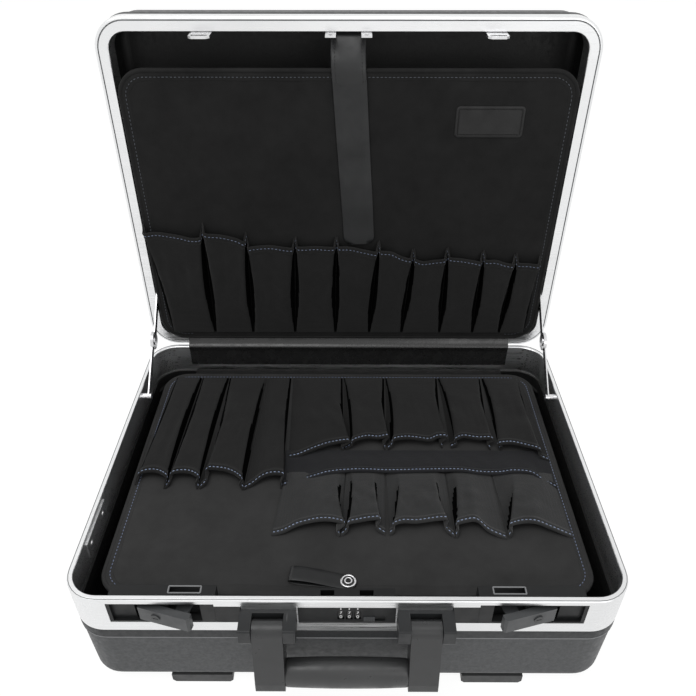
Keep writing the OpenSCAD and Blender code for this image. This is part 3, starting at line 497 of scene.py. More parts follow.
LOOKS = {
    # the lid's shell is a lighter copy of the base's shell: painted light on its top faces
    "shell_base": pebbled("shell_base", grey(0.066, 0.04), P(0, 187, -20), "Z",
                          (P(0, 0, -55.2).z, P(0, 0, -42.5).z)),
    "shell_lid_lit": pebbled("shell_lid_lit", grey(0.1, 0.01), P(0, 350, 187), "Y",
                         (P(0, 384.4, 0).y, P(0, 397.2, 0).y)),
    "frame": anodised("frame", (0.86, 0.865, 0.87)),
    "hardware": moulded("hardware", grey(0.014, 0.04), 0.4, 0.25),
    "lever": moulded("lever", grey(0.055, 0.05), 0.36, 0.45),
    "feet": moulded("feet", grey(0.06, 0.02), 0.5, 0.4),
    "bracket": painted("bracket", grey(0.024, 0.05)),
    "handle": moulded("handle", grey(0.03, 0.03), 0.34, 0.5),
    "grip": leather("grip", grey(0.035, 0.02), 0.36, 0.0016, 0.00004, 0.55),
    # the base board's leather and binding are a lighter copy, the lid board's panel and binding a darker copy of
    # the same leather: painted light on the upward base board, painted shade on the upright lid board
    "board": leather("board", grey(0.042), 0.75, 0.0008, 0.00006, 0.14),
    "lid_panel_shaded": leather("lid_panel_shaded", grey(0.017), 0.75, 0.0008, 0.00006, 0.1),
    "binding": leather("binding", grey(0.026), 0.6, 0.0012, 0.00008, 0.24),
    "board_binding": leather("board_binding", grey(0.036), 0.7, 0.0009, 0.00007, 0.16),
    "lid_binding_shaded": leather("lid_binding_shaded", grey(0.017), 0.7, 0.0009, 0.00007, 0.1),
    # the front row's cloth is a lighter copy of the pockets' cloth: painted light
    "cloth": woven("cloth", grey(0.012)),
    "front_cloth_lit": woven("front_cloth_lit", grey(0.026, 0.02), sheen=0.25),
    # near-black copy of the cloth for the pockets' flanks: painted shade
    "flank_shade": woven("flank_shade", grey(0.0012), specular=0.02, sheen=0.0),
    "hem": woven("hem", (0.015, 0.0155, 0.018), 0.0008, 0.16, 0.1, 0.0003),
    "strap": leather("strap", grey(0.014, 0.04), 0.4, 0.0012, 0.00004, 0.4),
    "cover": leather("cover", grey(0.014), 0.24, 0.0015, 0.00006, 0.6),
    "steel": bright("steel", (0.78, 0.78, 0.79)),
    "rail": moulded("rail", grey(0.012), 0.5, 0.2),
    "plate": painted("plate", grey(0.07, 0.03), 0.34),
    "plug": painted("plug", grey(0.05, 0.03), 0.32),
    "dial": moulded("dial", grey(0.006), 0.25, 0.5),
    "ink": moulded("ink", grey(0.8), 0.5, 0.3),
    "thread": thread("thread", (0.5, 0.62, 0.9)),
    "edge_thread": thread("edge_thread", (0.25, 0.31, 0.48)),
    "lid_thread": thread("lid_thread", (0.24, 0.29, 0.42)),
    "pale_thread": thread("pale_thread", (0.1, 0.11, 0.13)),
    "dark_thread": thread("dark_thread", grey(0.006)),
    "lip": moulded("lip", grey(0.3, 0.02), 0.45, 0.4),
    "line": painted("line", grey(0.16, 0.03), 0.4),
}

NODE_LOOKS = {
    "frame": ["frame_joiner"], "rail": ["board_rails"], "plate": ["badge_plate"],
    "plug": ["key_plug_left", "key_plug_right"],
    "hardware": ["latch_housing_left", "latch_housing_right", "lock_housing", "front_fillers"],
    "lever": ["lock_slider"],
    "bracket": ["handle_bracket_left", "handle_bracket_right"], "handle": ["handle_arms"],
    "dial": ["dial_1", "dial_2", "dial_3", "pull_strap_snap"],
    "steel": ["hinge_base_leaf", "hinge_lid_leaf", "hinge_pin", "latch_pins", "latch_keepers",
              "lock_keepers", "dial_spindle", "handle_pins", "stay_lower_left", "stay_lower_right",
              "stay_upper_left", "stay_upper_right", "stay_base_studs", "stay_lid_studs"],
}
for look, names in NODE_LOOKS.items():
    for name in names:
        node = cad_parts[name]
        for held in node.material_slots:
            held.material = LOOKS[look]
        node.data.shade_smooth()
        node.data.set_sharp_from_angle(angle=math.radians(32))

# --- shells, frames and levers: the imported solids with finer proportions, inside the same box ----
def reshaped(name, new_name, body, look, slot, change, sharp=32):
    """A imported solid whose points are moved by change, in the case's frame."""
    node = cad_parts[name]
    pts = np.array([node.matrix_world @ v.co for v in node.data.vertices]) * 1000 + (0, MID_Y, FLOOR_Z)
    piece = Solid().add(change(pts), [tuple(f.vertices) for f in node.data.polygons])
    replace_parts(piece.make(new_name, LOOKS[look], body, slot, sharp), name)


def widened(x, y, out):
    """Moves points of the case's outline outwards by out."""
    y = y - HALF_D
    flat_x, flat_y = HALF_W - CORNER, HALF_D - CORNER
    cx, cy = np.clip(x, -flat_x, flat_x), np.clip(y, -flat_y, flat_y)
    away = np.hypot(x - cx, y - cy)
    k = np.where(away > 1, 1 + out / np.maximum(away, 1), 1)
    return cx + (x - cx) * k, cy + (y - cy) * k + HALF_D


def base_body(p):
    """Body nearly flush below a lip that starts 43 below the seam."""
    x, y, z = p.T
    x, y = widened(x, y, np.interp(-z, [40, 51, 53.7, 55, 114], [.2, .3, .7, 5.0, 9.6]))
    z = -np.interp(-z, [39, 40.1, 51, 53.6, 55, 114, 125], [39, 43.1, 52.8, 55.2, 56.2, 113, 125])
    return np.stack([x, y, z], -1)


def base_rim(p):
    """The outer face ends 43 below the seam."""
    p[p[:, 2] < -39.5, 2] = -43
    return p


def lid_body(p):
    """Lip from 9.6 inside the lid, and a body 4 to 5.4 inside the outline."""
    x, deep, back = p[:, 0], p[:, 1] - HINGE_Y - SEAM, HINGE_Y - p[:, 2]
    x, back = widened(x, back, np.interp(deep, [18, 29, 31.7, 33, 59], [.2, .3, .6, 2.4, 6.6]))
    deep = np.interp(deep, [3.5, 18.1, 29, 31.6, 33, 59, 70], [3.5, 9.6, 19, 21.4, 22.6, 58, 70])
    return np.stack([x, deep + HINGE_Y + SEAM, HINGE_Y - back], -1)


def lid_rim(p):
    """The outer face ends 9.5 from the mating face instead of 18."""
    p[np.abs(p[:, 1] - HINGE_Y - 18.3) < 0.05, 1] = HINGE_Y + 9.8
    return p


def foot_ends(p):
    """The feet reach out to just behind the case's outline."""
    p[:, 1] = np.interp(p[:, 1], [14, 26, 60, 315, 349, 361], [3.5, 24, 60, 315, 351, 371.5])
    return p


def slim(p):
    """Takes height off a lever above and below the bore of its key plug."""
    d = p[:, 2] - LEVER_MID
    p[:, 2] = np.sign(d) * np.interp(np.abs(d), [0, 4.6, 11.25, 13], [0, 4.6, 8.6, 9.6]) + LEVER_MID
    return p


reshaped("base_shell", "base_shell_body", "base", "shell_base", "shell", base_body)
reshaped("base_frame", "base_frame_rim", "base", "frame", "frame", base_rim)
reshaped("lid_shell", "lid_shell_body", "lid", "shell_lid_lit", "shell", lid_body)
reshaped("lid_frame", "lid_frame_rim", "lid", "frame", "frame", lid_rim)
reshaped("feet", "feet_blocks", "base", "feet", "shell", foot_ends)
for side in ("left", "right"):
    reshaped(f"latch_lever_{side}", f"lever_{side}_slim", f"latch_{side}", "lever", "hardware", slim)

# --- boards and their bindings -------------------------------------------------------------------
PANEL = [(14, -4), (3.2, -4), (2.8, -3.6), (2.8, -0.4), (3.2, 0), (8, 0), (14, 0)]
TAPE_HALF = [(11.6, 2.02), (11.4, 2.12), (10.8, 2.2), (9.6, 2.2), (8.9, 2.12), (8.1, 2.12), (7.4, 2.24),
             (6.2, 2.24), (5.3, 2.2)]
BEAD = [(BEAD_R * (1 + math.cos(math.radians(a))), BEAD_R * math.sin(math.radians(a)))
        for a in range(48, 181, 12)]
BINDING = [(i, h - 2) for i, h in TAPE_HALF + BEAD] + [(i, -h - 2) for i, h in (TAPE_HALF + BEAD)[::-1][1:]]


def board(name, edges, place, body, panel_look, bound, sewn, seed):
    mid, half = (0, sum(edges) / 2), (edges[1] - edges[0]) / 2
    args = (BOARD_HALF, half, BOARD_R, mid)
    panel = Solid().add(*rings(*args, PANEL, place, capped=True))
    panel = panel.make(name + "_panel", LOOKS[panel_look], body, "board")
    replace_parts(panel, name)
    edge = Solid().add(*rings(*args, BINDING, place, wobble=0.5, seed=seed))
    edge = edge.make(name + "_edge", LOOKS[bound], body, "binding")
    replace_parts(edge, name + "_binding")
    for sign, side in ((1, "face"), (-1, "back")):
        line = outline(BOARD_HALF, half, BOARD_R, 8.0)
        front = (line[:, 1] < 10 - half) & (np.abs(line[:, 0]) < 190)
        last = np.flatnonzero(front)[-1]
        line = np.roll(line, -last - 1, 0)[:len(line) - int(front.sum())]
        h = 0.16 if sign > 0 else -4.16
        path = place(np.stack([line[:, 0], line[:, 1] + mid[1], np.full(len(line), h)], -1))
        up = place(np.array([[0, 0, 1.0]])) - place(np.array([[0, 0, 0.0]]))
        stitches(path, np.repeat(sign * up, len(path), 0)).make(
            f"{name}_stitches_{side}", LOOKS[sewn], body, "binding")


# the base board takes the lighter copy of the leather, the lid board the darker one: painted light and shade
board("base_board", BASE_EDGES, on_base, "base_board", "board", "board_binding", "edge_thread", 3)
board("lid_board", LID_EDGES, on_lid, "lid_board", "lid_panel_shaded", "lid_binding_shaded", "pale_thread", 4)

# --- pockets -------------------------------------------------------------------------------------
# Each pocket: its mouth from one sewn foot over the top to the other, as (x, along the board, height), and
# the X of its foot, top and top, foot at the sewn end.
LEFT = [
    ([(-222.8, 160.6, 1), (-219.4, 168.5, 8), (-209.5, 171.7, 9), (-199.1, 170.3, 9), (-190.2, 163.4, 9),
      (-191.1, 160.9, 5), (-191.8, 155.6, .3)], (-214.5, -212.5, -186, -184)),
    ([(-190.2, 155.6, .3), (-186.1, 161, 5), (-185.6, 167.6, 9), (-173, 170.9, 9), (-162.5, 168.2, 9),
      (-156.4, 162.1, 9), (-158.5, 159.7, 5), (-157.3, 155.1, .3)], (-182, -180, -152, -150)),
    ([(-154.5, 155.2, .3), (-148.1, 161, 5), (-149, 174.4, 9), (-139.3, 174.9, 9.3), (-129, 173.3, 9),
      (-118.2, 167.7, 9), (-111.2, 160, 9), (-112.5, 157.9, 5), (-109.7, 154.2, .3)], (-148, -146, -105, -102)),
    ([(-108.5, 154.2, .3), (-99.7, 159, 3), (-90, 165.3, 7), (-81.1, 167.8, 9), (-67.9, 166.2, 9),
      (-69.8, 161.2, 5), (-70, 156.2, .3)], (-100, -96, -74, -72)),
]
BACK = [
    ([(-64.8, 201.5, .3), (-54.4, 202.8, 2), (-37.8, 208.6, 6), (-18.9, 214.6, 9), (2.1, 218.3, 9),
      (-7.4, 212.8, 5), (-5.3, 213.4, .3)], (-69, -64, -10, -8)),
    ([(-3.8, 214, .3), (4.2, 217.5, 4), (5.9, 218.4, 9), (21.3, 225.2, 9), (34, 224, 9), (44.7, 226.5, 9),
      (39.2, 218.1, 5), (40.7, 214.8, .3)], (-6, -4, 42, 44)),
    ([(44.1, 214.8, .3), (49.2, 217.6, 4), (50.4, 220, 9), (63.8, 224.1, 9), (76.4, 222.9, 9), (91.1, 220.7, 9),
      (100.5, 226, 9), (110.4, 225.4, 9), (102.4, 221, 5), (104.6, 217.9, .3)], (46, 48, 108, 110)),
    ([(114.3, 218, .3), (120.7, 219.2, 4), (119.1, 220.2, 9), (127.4, 226.1, 9), (144.9, 223.2, 9),
      (160.6, 222.7, 9), (154.9, 218.3, 5), (157.6, 215.2, .3)], (112, 114, 162, 164)),
    ([(168.3, 214.7, .3), (170.5, 216.5, 4), (165.5, 214, 9), (179.3, 216.4, 9), (194.2, 212.1, 9),
      (210.1, 204.3, 9), (209.3, 201.1, 4), (219.4, 197.4, .3)], (167, 169, 210, 214.5)),
]
FRONT = [
    ([(-74.1, 94.4, .3), (-62.9, 95.7, 3), (-48.1, 101.4, 7), (-25.8, 105.8, 9), (-10.8, 104.6, 9), (-3, 101, 9),
      (-10.8, 95.7, 4), (-8, 93.4, .3)], (-65.5, -60, -9, -3)),
    ([(-6.1, 93.4, .3), (-.4, 97.4, 4), (.8, 101.1, 9), (11.6, 104.7, 9), (22.9, 107.1, 9), (31.9, 107.2, 9),
      (28.4, 100.6, 4), (36.7, 94.7, .3)], (-1.5, 4, 29, 39)),
    ([(41.4, 94.7, .3), (45.4, 97.5, 4), (44.2, 99.3, 9), (52.6, 103.6, 9), (67.6, 103.6, 9), (86.2, 106.7, 9),
      (98.4, 106.8, 9), (96, 100.3, 4), (104.1, 91.9, .3)], (41, 52, 94, 103)),
    ([(106.5, 91.9, .3), (108, 96.1, 5), (106.4, 100.5, 9), (115.6, 104.6, 9), (126.2, 105.5, 9),
      (137.6, 96.6, 4.5), (154.4, 90.3, .3)], (105, 113, 133, 152)),
    ([(157.8, 92, .3), (159.8, 95.2, 5), (157.2, 98.4, 9), (169.4, 103.6, 9), (183.3, 103.6, 9), (198.4, 98.8, 6),
      (218.4, 92.5, .5)], (154, 173, 208, 217)),
]
FRONT_END = 178.6
# the hems of the lid's row, left to right, and the X of the dividers at the sewn end
LID_HEMS = [
    [(-226.5, 162.5), (-212.7, 163.3), (-186.8, 159.3), (-173.9, 156.1), (-163.6, 157.7)],
    [(-160.2, 162.9), (-140.8, 160.1), (-123.5, 155.6), (-115.6, 151.5)],
    [(-112.4, 145), (-108, 145.8), (-88.5, 147.5), (-61.9, 145)],
    [(-57.9, 146.7), (-36.3, 146.4), (-15.4, 146.4)],
    [(-11.8, 146.8), (.8, 145.9), (16.4, 142.5), (32.2, 139.9)],
    [(35.6, 141.6), (47.9, 139.9), (60.8, 133.8), (71.4, 131.7)],
    [(75.3, 131.8), (83.2, 127.9), (95.8, 129.4), (109.6, 132)],
    [(113.3, 133.8), (127.3, 131.5), (140.1, 129.4), (150.4, 127.7)],
    [(154.2, 130.3), (167, 129.4), (178.6, 125.9), (187.9, 125)],
    [(191.7, 126.8), (204, 125.6), (217, 124.6)],
]
LID_DIVIDERS = [-215, -162.8, -116.4, -65.2, -16, 25.1, 64.6, 111, 151.1, 183.7, 215]
# how far in from a hemmed edge, and how much thicker the cloth is there
HEM_ROWS = [(0, -.15), (.5, .5), (1.6, .62), (3, .58), (3.7, .28), (4.7, .28), (5.4, .58), (6.8, .58),
            (7.5, .45), (7.9, 0)]


def hemmed(surface_at, far, cols, up, steps):
    """Rows of a cloth from its hemmed edge to its far end: middle surface, normals, hem's extra thickness."""
    rows = [surface_at(np.full(cols, d)) for d, _ in HEM_ROWS]
    rows += [surface_at(8.5 + (far - 8.5) * t) for t in np.linspace(0.02, 1, steps)]
    s = np.stack(rows)
    lift = np.array([h for _, h in HEM_ROWS] + [0] * steps)
    return s, normals(s, up), lift[:, None, None]


def pocket(mouth, ends, far, seed, cols=46, steps=16):
    """One pocket in its board's coordinates: closed cloth with the painted shade of its flanks, stitch line with
    normals, and its flat size.
    """
    top = smooth_path(mouth, cols)
    top[:, 2] = np.maximum(top[:, 2], 0.65)
    high = np.flatnonzero(top[:, 2] > 0.72 * top[:, 2].max())
    keys = [0, high[0], high[-1], cols - 1]
    at = np.arange(cols)
    x_end, h_end = np.interp(at, keys, ends), np.interp(at, keys, (0.65, 2.4, 2.4, 0.65))
    run = far - top[:, 1]
    width = top[high[-1], 0] - top[high[0], 0]
    tuck_at = [0, high[0], high[0] + 6, high[-1] - 6, high[-1], cols - 1]
    tuck = np.interp(at, tuck_at, [0, 1, .5, -.5, -1, 0]) * width * 0.06
    row_d = np.array([d for d, _ in HEM_ROWS] + [20] * steps)

    def surface(d):
        t = np.clip(d / np.abs(run), 0, 1)
        y = top[:, 1] + run * t
        x = top[:, 0] + (x_end - top[:, 0]) * t
        x = x + tuck * np.sin(np.pi * np.clip(t, 0, 1)) ** 0.8
        h = h_end + (top[:, 2] - h_end) * np.cos(np.pi / 2 * t) ** 0.75
        free = np.clip((h - 2) / 6, 0, 1) * np.sin(np.pi * np.clip(t * 1.15, 0, 1))
        h = h + free * (0.75 * ripple(x, y, seed, 26) + 0.35 * ripple(x, y, seed + 50, 11))
        return np.stack([x, y, h], -1)

    s, n, lift = hemmed(surface, np.abs(run), cols, (0, 0, 1), steps)
    # painted shade: the steep flanks of the cloth past its hem are marked for darkening, as shade falls there
    flank_shade_amount = np.clip((0.955 - np.abs(n[..., 2])) / 0.25, 0, 1) * np.clip((row_d[:, None] - 6) / 6, 0, 1)
    outer, inner = s + n * (CLOTH / 2 + lift), s - n * CLOTH / 2
    flat = (lengths(top)[-1], lengths(s[-1])[-1], float(np.abs(run).mean()))
    return (*skin(outer, inner), np.concatenate([flank_shade_amount.ravel(), flank_shade_amount.ravel()])), \
        (s[4] + n[4] * (CLOTH / 2 + 0.3), n[4]), flat


def pocket_row(name, pockets, far, place, body, seed):
    cloth, sewing, flats = Solid(), Solid(), []
    for i, (mouth, ends) in enumerate(pockets):
        (points, faces, flank_shade_amount), (line, up), flat = pocket(mouth, ends, far, seed + i)
        cloth.add(place(points), faces, flank_shade_amount)
        tip = place(line + up)
        line = place(line)
        made = stitches(line, tip - line)
        sewing.add(np.concatenate(made.points), made.faces)
        flats.append(flat)
    # the front row takes the lighter copy of the cloth: painted light
    look = LOOKS["front_cloth_lit" if "front" in name else "cloth"]
    # the pockets' flanks take the near-black cloth: painted shade
    row = cloth.make(name + "_cloth", look, body, "cloth", 60, LOOKS["flank_shade"])
    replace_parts(row, name)
    sewn = "lid_thread" if place is on_lid else "thread"
    thread_piece = sewing.make(name + "_sewing", LOOKS[sewn], body, "cloth")


pocket_row("base_pockets_left", LEFT, BASE_END, on_base, "base_board", 11)
pocket_row("base_pockets_back", BACK, BASE_END, on_base, "base_board", 21)
pocket_row("base_pockets_front", FRONT, FRONT_END, on_base, "base_board", 31)

lid_row = []
for i, hem in enumerate(LID_HEMS):
    (x0, z0), (x1, z1) = hem[0], hem[-1]
    left = [(x0 - .9, z0 + 8, .3), (x0 - .4, z0 + 6, 3.4), (x0 + .2, z0 + 3.2, 7)]
    right = [(x1 - .2, z1 + 3.2, 7), (x1 + .4, z1 + 6, 3.4), (x1 + .9, z1 + 8, .3)]
    a, b = LID_DIVIDERS[i], LID_DIVIDERS[i + 1]
    lid_row.append((left + [(x, z, 9) for x, z in hem] + right, (a + .6, a + 2, b - 2, b - .6)))
pocket_row("lid_pockets", lid_row, LID_END, on_lid, "lid_board", 61)

# the bound flap that covers the sewn ends of the front row
FLAP_EDGE = [(-67.9, 159.5, .5), (-53.9, 161.8, 2.5), (-36.1, 167.9, 4.5), (-18.1, 173.9, 5.5), (12.3, 176.6, 6),
             (42.7, 175.3, 6), (83.6, 176.6, 6), (121.5, 176.7, 6), (140.2, 174.3, 5), (161, 174.3, 4.5),
             (176.3, 176, 5.5), (194.7, 173.4, 5.5), (204.7, 165.5, 3), (218.2, 157, .5)]
FLAP_BACK = 214.0


def flap():
    cols = 110
    edge = smooth_path(FLAP_EDGE, cols)
    run = FLAP_BACK - edge[:, 1]

    def surface(d):
        t = np.clip(d / run, 0, 1)
        y = edge[:, 1] + run * t
        h = 0.7 + (np.maximum(edge[:, 2], 0.9) - 0.7) * (1 - t) ** 1.3
        return np.stack([edge[:, 0], y, h + 0.4 * np.sin(np.pi * t) * ripple(edge[:, 0], y, 91, 22)], -1)

    s, n, lift = hemmed(surface, run, cols, (0, 0, 1), 10)
    piece = Solid().add(*[on_base(skin(s + n * (CLOTH / 2 + lift), s - n * CLOTH / 2)[0]),
                          skin(s, s)[1]]).make("hem_flap", LOOKS["hem"], "base_board", "cloth", 60)
    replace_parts(piece, "base_pocket_hem")
    line = on_base(s[4] + n[4] * (CLOTH / 2 + 0.3))
    sewing = stitches(line, n[4]).make("hem_flap_sewing", LOOKS["thread"], "base_board", "cloth")


flap()

# --- straps, patch and hinge cover ---------------------------------------------------------------
X_WAY = np.array([1.0, 0, 0])


def frames(path, across):
    """Width and up directions of a strap along a path, with its width along across."""
    along = np.gradient(path, axis=0)
    along /= np.linalg.norm(along, axis=1, keepdims=True)
    wide = np.repeat(np.array([across], float), len(path), 0)
    wide -= (wide * along).sum(1, keepdims=True) * along
    wide /= np.linalg.norm(wide, axis=1, keepdims=True)
    return wide, np.cross(wide, along)


LID_STRAP = [(0, 396.8, 361.3), (0, 389.8, 361.2), (0, 386, 359.4), (0, 381.3, 358), (-.4, 372.3, 346.5),
             (-.2, 366.2, 337.2), (0, 364.2, 331), (1, 363.9, 318), (2.8, 364.6, 290), (6, 364.9, 240),
             (9.5, 364.8, 190), (12, 364.2, 146)]


def lid_strap():
    path = smooth_path(LID_STRAP, 110)
    path[:, 1] += 0.5 * np.clip((300 - path[:, 2]) / 60, 0, 1) * ripple(path[:, 2], path[:, 2] * 0, 5, 60)
    wide, up = frames(path, (1, 0, 0))
    up *= np.sign(-(up[:, 1].mean()))
    section = flat_section(2.0, 0.07)
    strap = Solid().add(*tape(path + up * -0.8, wide, up, 17, section, (0, 9)))
    strap = strap.make("lid_strap_body", LOOKS["strap"], "lid", "strap", 40)
    doubled = path[path[:, 2] > 317]
    n = len(doubled)
    lap = Solid().add(*tape(doubled + up[:n] * 1.1, wide[:n], up[:n], 16.4, flat_section(1.1, 0.06), (0, 2)))
    lap = lap.make("lid_strap_lap", LOOKS["strap"], "lid", "strap", 40)
    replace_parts(strap, "lid_strap")
    for side in (-1, 1):
        line = doubled[6:] + wide[6:n] * side * 13.2 + up[6:n] * 2.25
        stitches(line, up[6:n], 3.4, 2.4, 0.28).make(
            "lid_strap_stitches_" + ("right" if side > 0 else "left"), LOOKS["dark_thread"], "lid", "strap")


lid_strap()


def pull_strap():
    """A doubled strap: flat on the board, turned back at its left end, held by the snap at its right end."""
    turn = math.radians(173)
    way = np.array([math.cos(turn), math.sin(turn), 0])
    route = [(-8, .5), (10, .5), (30, .5), (47, .6), (52.5, 1.6), (54.4, 3.6), (52.4, 5.6), (47, 6.2), (38, 5.9),
             (26, 4.4), (14, 2.2), (7, 1.5), (-8, 1.45)]
    path = smooth_path([(s, h, 0) for s, h in route], 110)
    flat = path[:, 0] * 0
    pts = np.array(SNAP) + path[:, :1] * way + np.stack([flat, flat, path[:, 1] + BASE_FACE], -1)
    wide, up = frames(pts, np.cross((0, 0, 1), way))
    solid = Solid().add(*tape(pts - up * 0.45, wide, up, 8, flat_section(0.9, 0.1), (8, 8)))
    piece = solid.make("pull_strap_loop", LOOKS["strap"], "base_board", "strap", 40)
    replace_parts(piece, "pull_strap")


SNAP = (1.0, 41.0, 0.0)
pull_strap()

ring_turn = np.radians(np.arange(0, 360, 12))
snap = Solid()
for ring_r, tube, height in ((6.3, 1.2, 2.4), (3.1, 0.8, 3.4)):
    tube_turn = np.radians(np.arange(0, 360, 30))
    pts = [(SNAP[0] + (ring_r + tube * math.cos(b)) * math.cos(a),
            SNAP[1] + (ring_r + tube * math.cos(b)) * math.sin(a),
            BASE_FACE + height + tube * math.sin(b)) for a in ring_turn for b in tube_turn]
    faces = [(r * 12 + c, r * 12 + (c + 1) % 12, (r + 1) % 30 * 12 + (c + 1) % 12, (r + 1) % 30 * 12 + c)
             for r in range(30) for c in range(12)]
    snap.add(pts, faces)
snap.make("snap_rings", LOOKS["steel"], "base_board", "steel")

# the bare sewn patch on the lid board
PATCH = (142.0, 280.5)


def slab(hw, hd, mid, t, place):
    """A thin pad with round edges and a sunk line along its border."""
    profile = [(0.6, 0.02), (0, 0.35 * t), (0.1, 0.7 * t), (0.6, t), (2.2, t), (2.6, 0.55 * t),
               (3.2, 0.55 * t), (3.6, t)]
    return rings(hw, hd, 4.0, mid, profile, place, capped=True)


patch = Solid().add(*slab(34.5, 15.5, PATCH, 1.3, on_lid))
patch = patch.make("label_patch_bare", LOOKS["binding"], "lid_board", "strap", 40)
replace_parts(patch, "label_patch")
border = outline(34.5, 15.5, 4.0, 2.9)
border = np.concatenate([border, border[:1]]) + PATCH
border = on_lid(np.stack([border[:, 0], border[:, 1], np.full(len(border), 0.85)], -1))
stitches(border, np.repeat([[0, -1.0, 0]], len(border), 0), 3.0, 2.1, 0.25).make(
    "label_patch_stitches", LOOKS["dark_thread"], "lid_board", "strap")

# strip over the hinge, from the lid's return wall down the base's inner wall
COVER = [(384.1, 13.9), (378, 14.1), (375.2, 13.6), (373.9, 10.8), (372.6, 7), (370.2, 3.6), (367.9, 1.6),
         (367.7, -1), (369, -4.5), (369.2, -12), (369.2, -27)]


def hinge_cover():
    cols = 81
    route = smooth_path([(0, y, z) for y, z in COVER], 40)
    x = np.linspace(-200, 200, cols)
    s = np.stack([route + X_WAY * k for k in x], 1)
    free = np.clip(1 - np.abs(s[..., 2] - 6) / 9, 0, 1)
    s[..., 1] -= 0.35 * free * (1 + ripple(s[..., 0], s[..., 2], 7, 90))
    n = normals(s, (0, -1, 0.5))
    piece = Solid().add(*skin(s + n * 0.05, s - n * 1.3))
    piece = piece.make("hinge_cover_strip", LOOKS["cover"], None, "cover", 60)
    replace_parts(piece, "hinge_cover")
    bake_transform(piece)


hinge_cover()


# --- handle grip ---------------------------------------------------------------------------------
def grip():
    mid, half, lean = (-20.2, -76.0), 53.6, math.radians(-8)
    turn = np.radians(np.arange(0, 360, 9))
    loops = []
    for s in np.concatenate([[-1, -0.996, -0.985], np.linspace(-0.97, 0.97, 25), [0.985, 0.996, 1]]):
        rounded = 1 if abs(s) < 0.98 else 0.985 if abs(s) < 0.99 else 0.96
        size = (0.915 + 0.085 * (1 - abs(s) ** 2.2)) * rounded
        a, b = 11.8 * size, 14.4 * size
        u = a * np.sign(np.cos(turn)) * np.abs(np.cos(turn)) ** 0.9
        v = b * np.sign(np.sin(turn)) * np.abs(np.sin(turn)) ** 0.9
        seam = sum(0.16 * np.exp(-((np.degrees(turn) - at) / 4) ** 2) for at in (90, 270))
        v = v * (1 + seam / b)
        loops.append(np.stack([np.full(len(turn), s * half), mid[0] + u * math.cos(lean) - v * math.sin(lean),
                               mid[1] + u * math.sin(lean) + v * math.cos(lean)], -1))
    pts = np.stack(loops)
    rows, cols = pts.shape[:2]
    faces = grid_faces(rows, cols, wrap=True)
    faces += [tuple(range(cols)), tuple((rows - 1) * cols + c for c in range(cols))]
    sleeve = Solid().add(pts, faces).make("grip_sleeve", LOOKS["grip"], "handle", "grip", 40)
    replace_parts(sleeve, "handle_grip")


grip()


# --- digits on the dials, and the marks above them -----------------------------------------------
def digit_mesh(text, size):
    curve = bpy.data.curves.new("digit", "FONT")
    curve.body, curve.size, curve.extrude = text, size, 0.06
    curve.align_x, curve.align_y, curve.offset, curve.resolution_u = "CENTER", "CENTER", 0.08, 3
    held = bpy.data.objects.new("digit", curve)
    bpy.context.scene.collection.objects.link(held)
    mesh = bpy.data.meshes.new_from_object(held.evaluated_get(bpy.context.evaluated_depsgraph_get()))
    bpy.data.objects.remove(held)
    pts = np.array([v.co for v in mesh.vertices])
    lo, hi = pts.min(0), pts.max(0)
    pts[:, :2] -= (lo[:2] + hi[:2]) / 2
    return pts, [tuple(p.vertices) for p in mesh.polygons]


bpy.context.view_layer.update()
DIGITS = [digit_mesh(str(k), 5.6) for k in range(10)]
for i in (1, 2, 3):
    ring = Solid()
    centre = np.array([DIAL_X + (i - 2) * DIAL_PITCH, *DIAL_MID])
    for k, (pts, faces) in enumerate(DIGITS):
        a = math.radians(36 * k)
        facet = DIAL_R * math.cos(math.radians(18))
        flat = np.stack([pts[:, 0] * 0.95, -(facet + pts[:, 2] + 0.02), pts[:, 1]], -1)
        turned = np.stack([flat[:, 0], flat[:, 1] * math.cos(a) - flat[:, 2] * math.sin(a),
                           flat[:, 1] * math.sin(a) + flat[:, 2] * math.cos(a)], -1)
        ring.add(centre + turned, faces)
    ring.make(f"digits_{i}", LOOKS["ink"], f"dial_{i}", "dial", 20)
marks = Solid()
for i in (-1, 0, 1):
    x = DIAL_X + i * DIAL_PITCH
    marks.add(*extruded([(0.62, -12.9), (0.42, -12.7), (0.42, -10.6), (0.62, -10.4)], x - 0.5, x + 0.5))
marks.make("dial_marks", LOOKS["ink"], "base", "dial", 20)

# --- fine lines round the frames and under the base's lip ----------------------------------------
def bead_ring(name, inset, h, r, place, body, look):
    """A thin round bead along the outline of the case."""
    section = [(inset + r * math.cos(a), h + r * math.sin(a)) for a in np.radians(np.arange(0, 360, 60))]
    bead = Solid().add(*rings(HALF_W, HALF_D, CORNER, (0, HALF_D), section, place))
    bead.make(name, LOOKS[look], body, "shell")


def on_open_lid(p):
    """(x, y, z) of the closed lid to the case's frame, lid open"""
    return np.stack([p[..., 0], HINGE_Y + SEAM + p[..., 2], HINGE_Y - p[..., 1]], -1)


bead_ring("base_lip_bead", 0.8, -55.3, 0.75, lambda p: p, "base", "lip")
bead_ring("lid_lip_bead", 1.2, 21.6, 0.6, on_open_lid, "lid", "line")
bead_ring("base_rim_line", 1.35, -0.05, 0.3, lambda p: p, "base", "line")
bead_ring("lid_rim_line", 3.8, 0.25, 0.4, on_open_lid, "lid", "line")

# --- lips of the keeper slots, rivets ------------------------------------------------------------
lips = Solid()
for sx in (-1, 1):
    profile = [(0, -5.3), (0, -4.9), (0.3, -4.6), (1.0, -4.6), (1.3, -4.9), (1.3, -5.3)]
    lips.add(*rings(14.6, 4.1, 1.2, (sx * 140, 14.9), profile, lambda p: p))
lips.make("latch_slot_lips", LOOKS["lip"], "base", "hardware", 40)


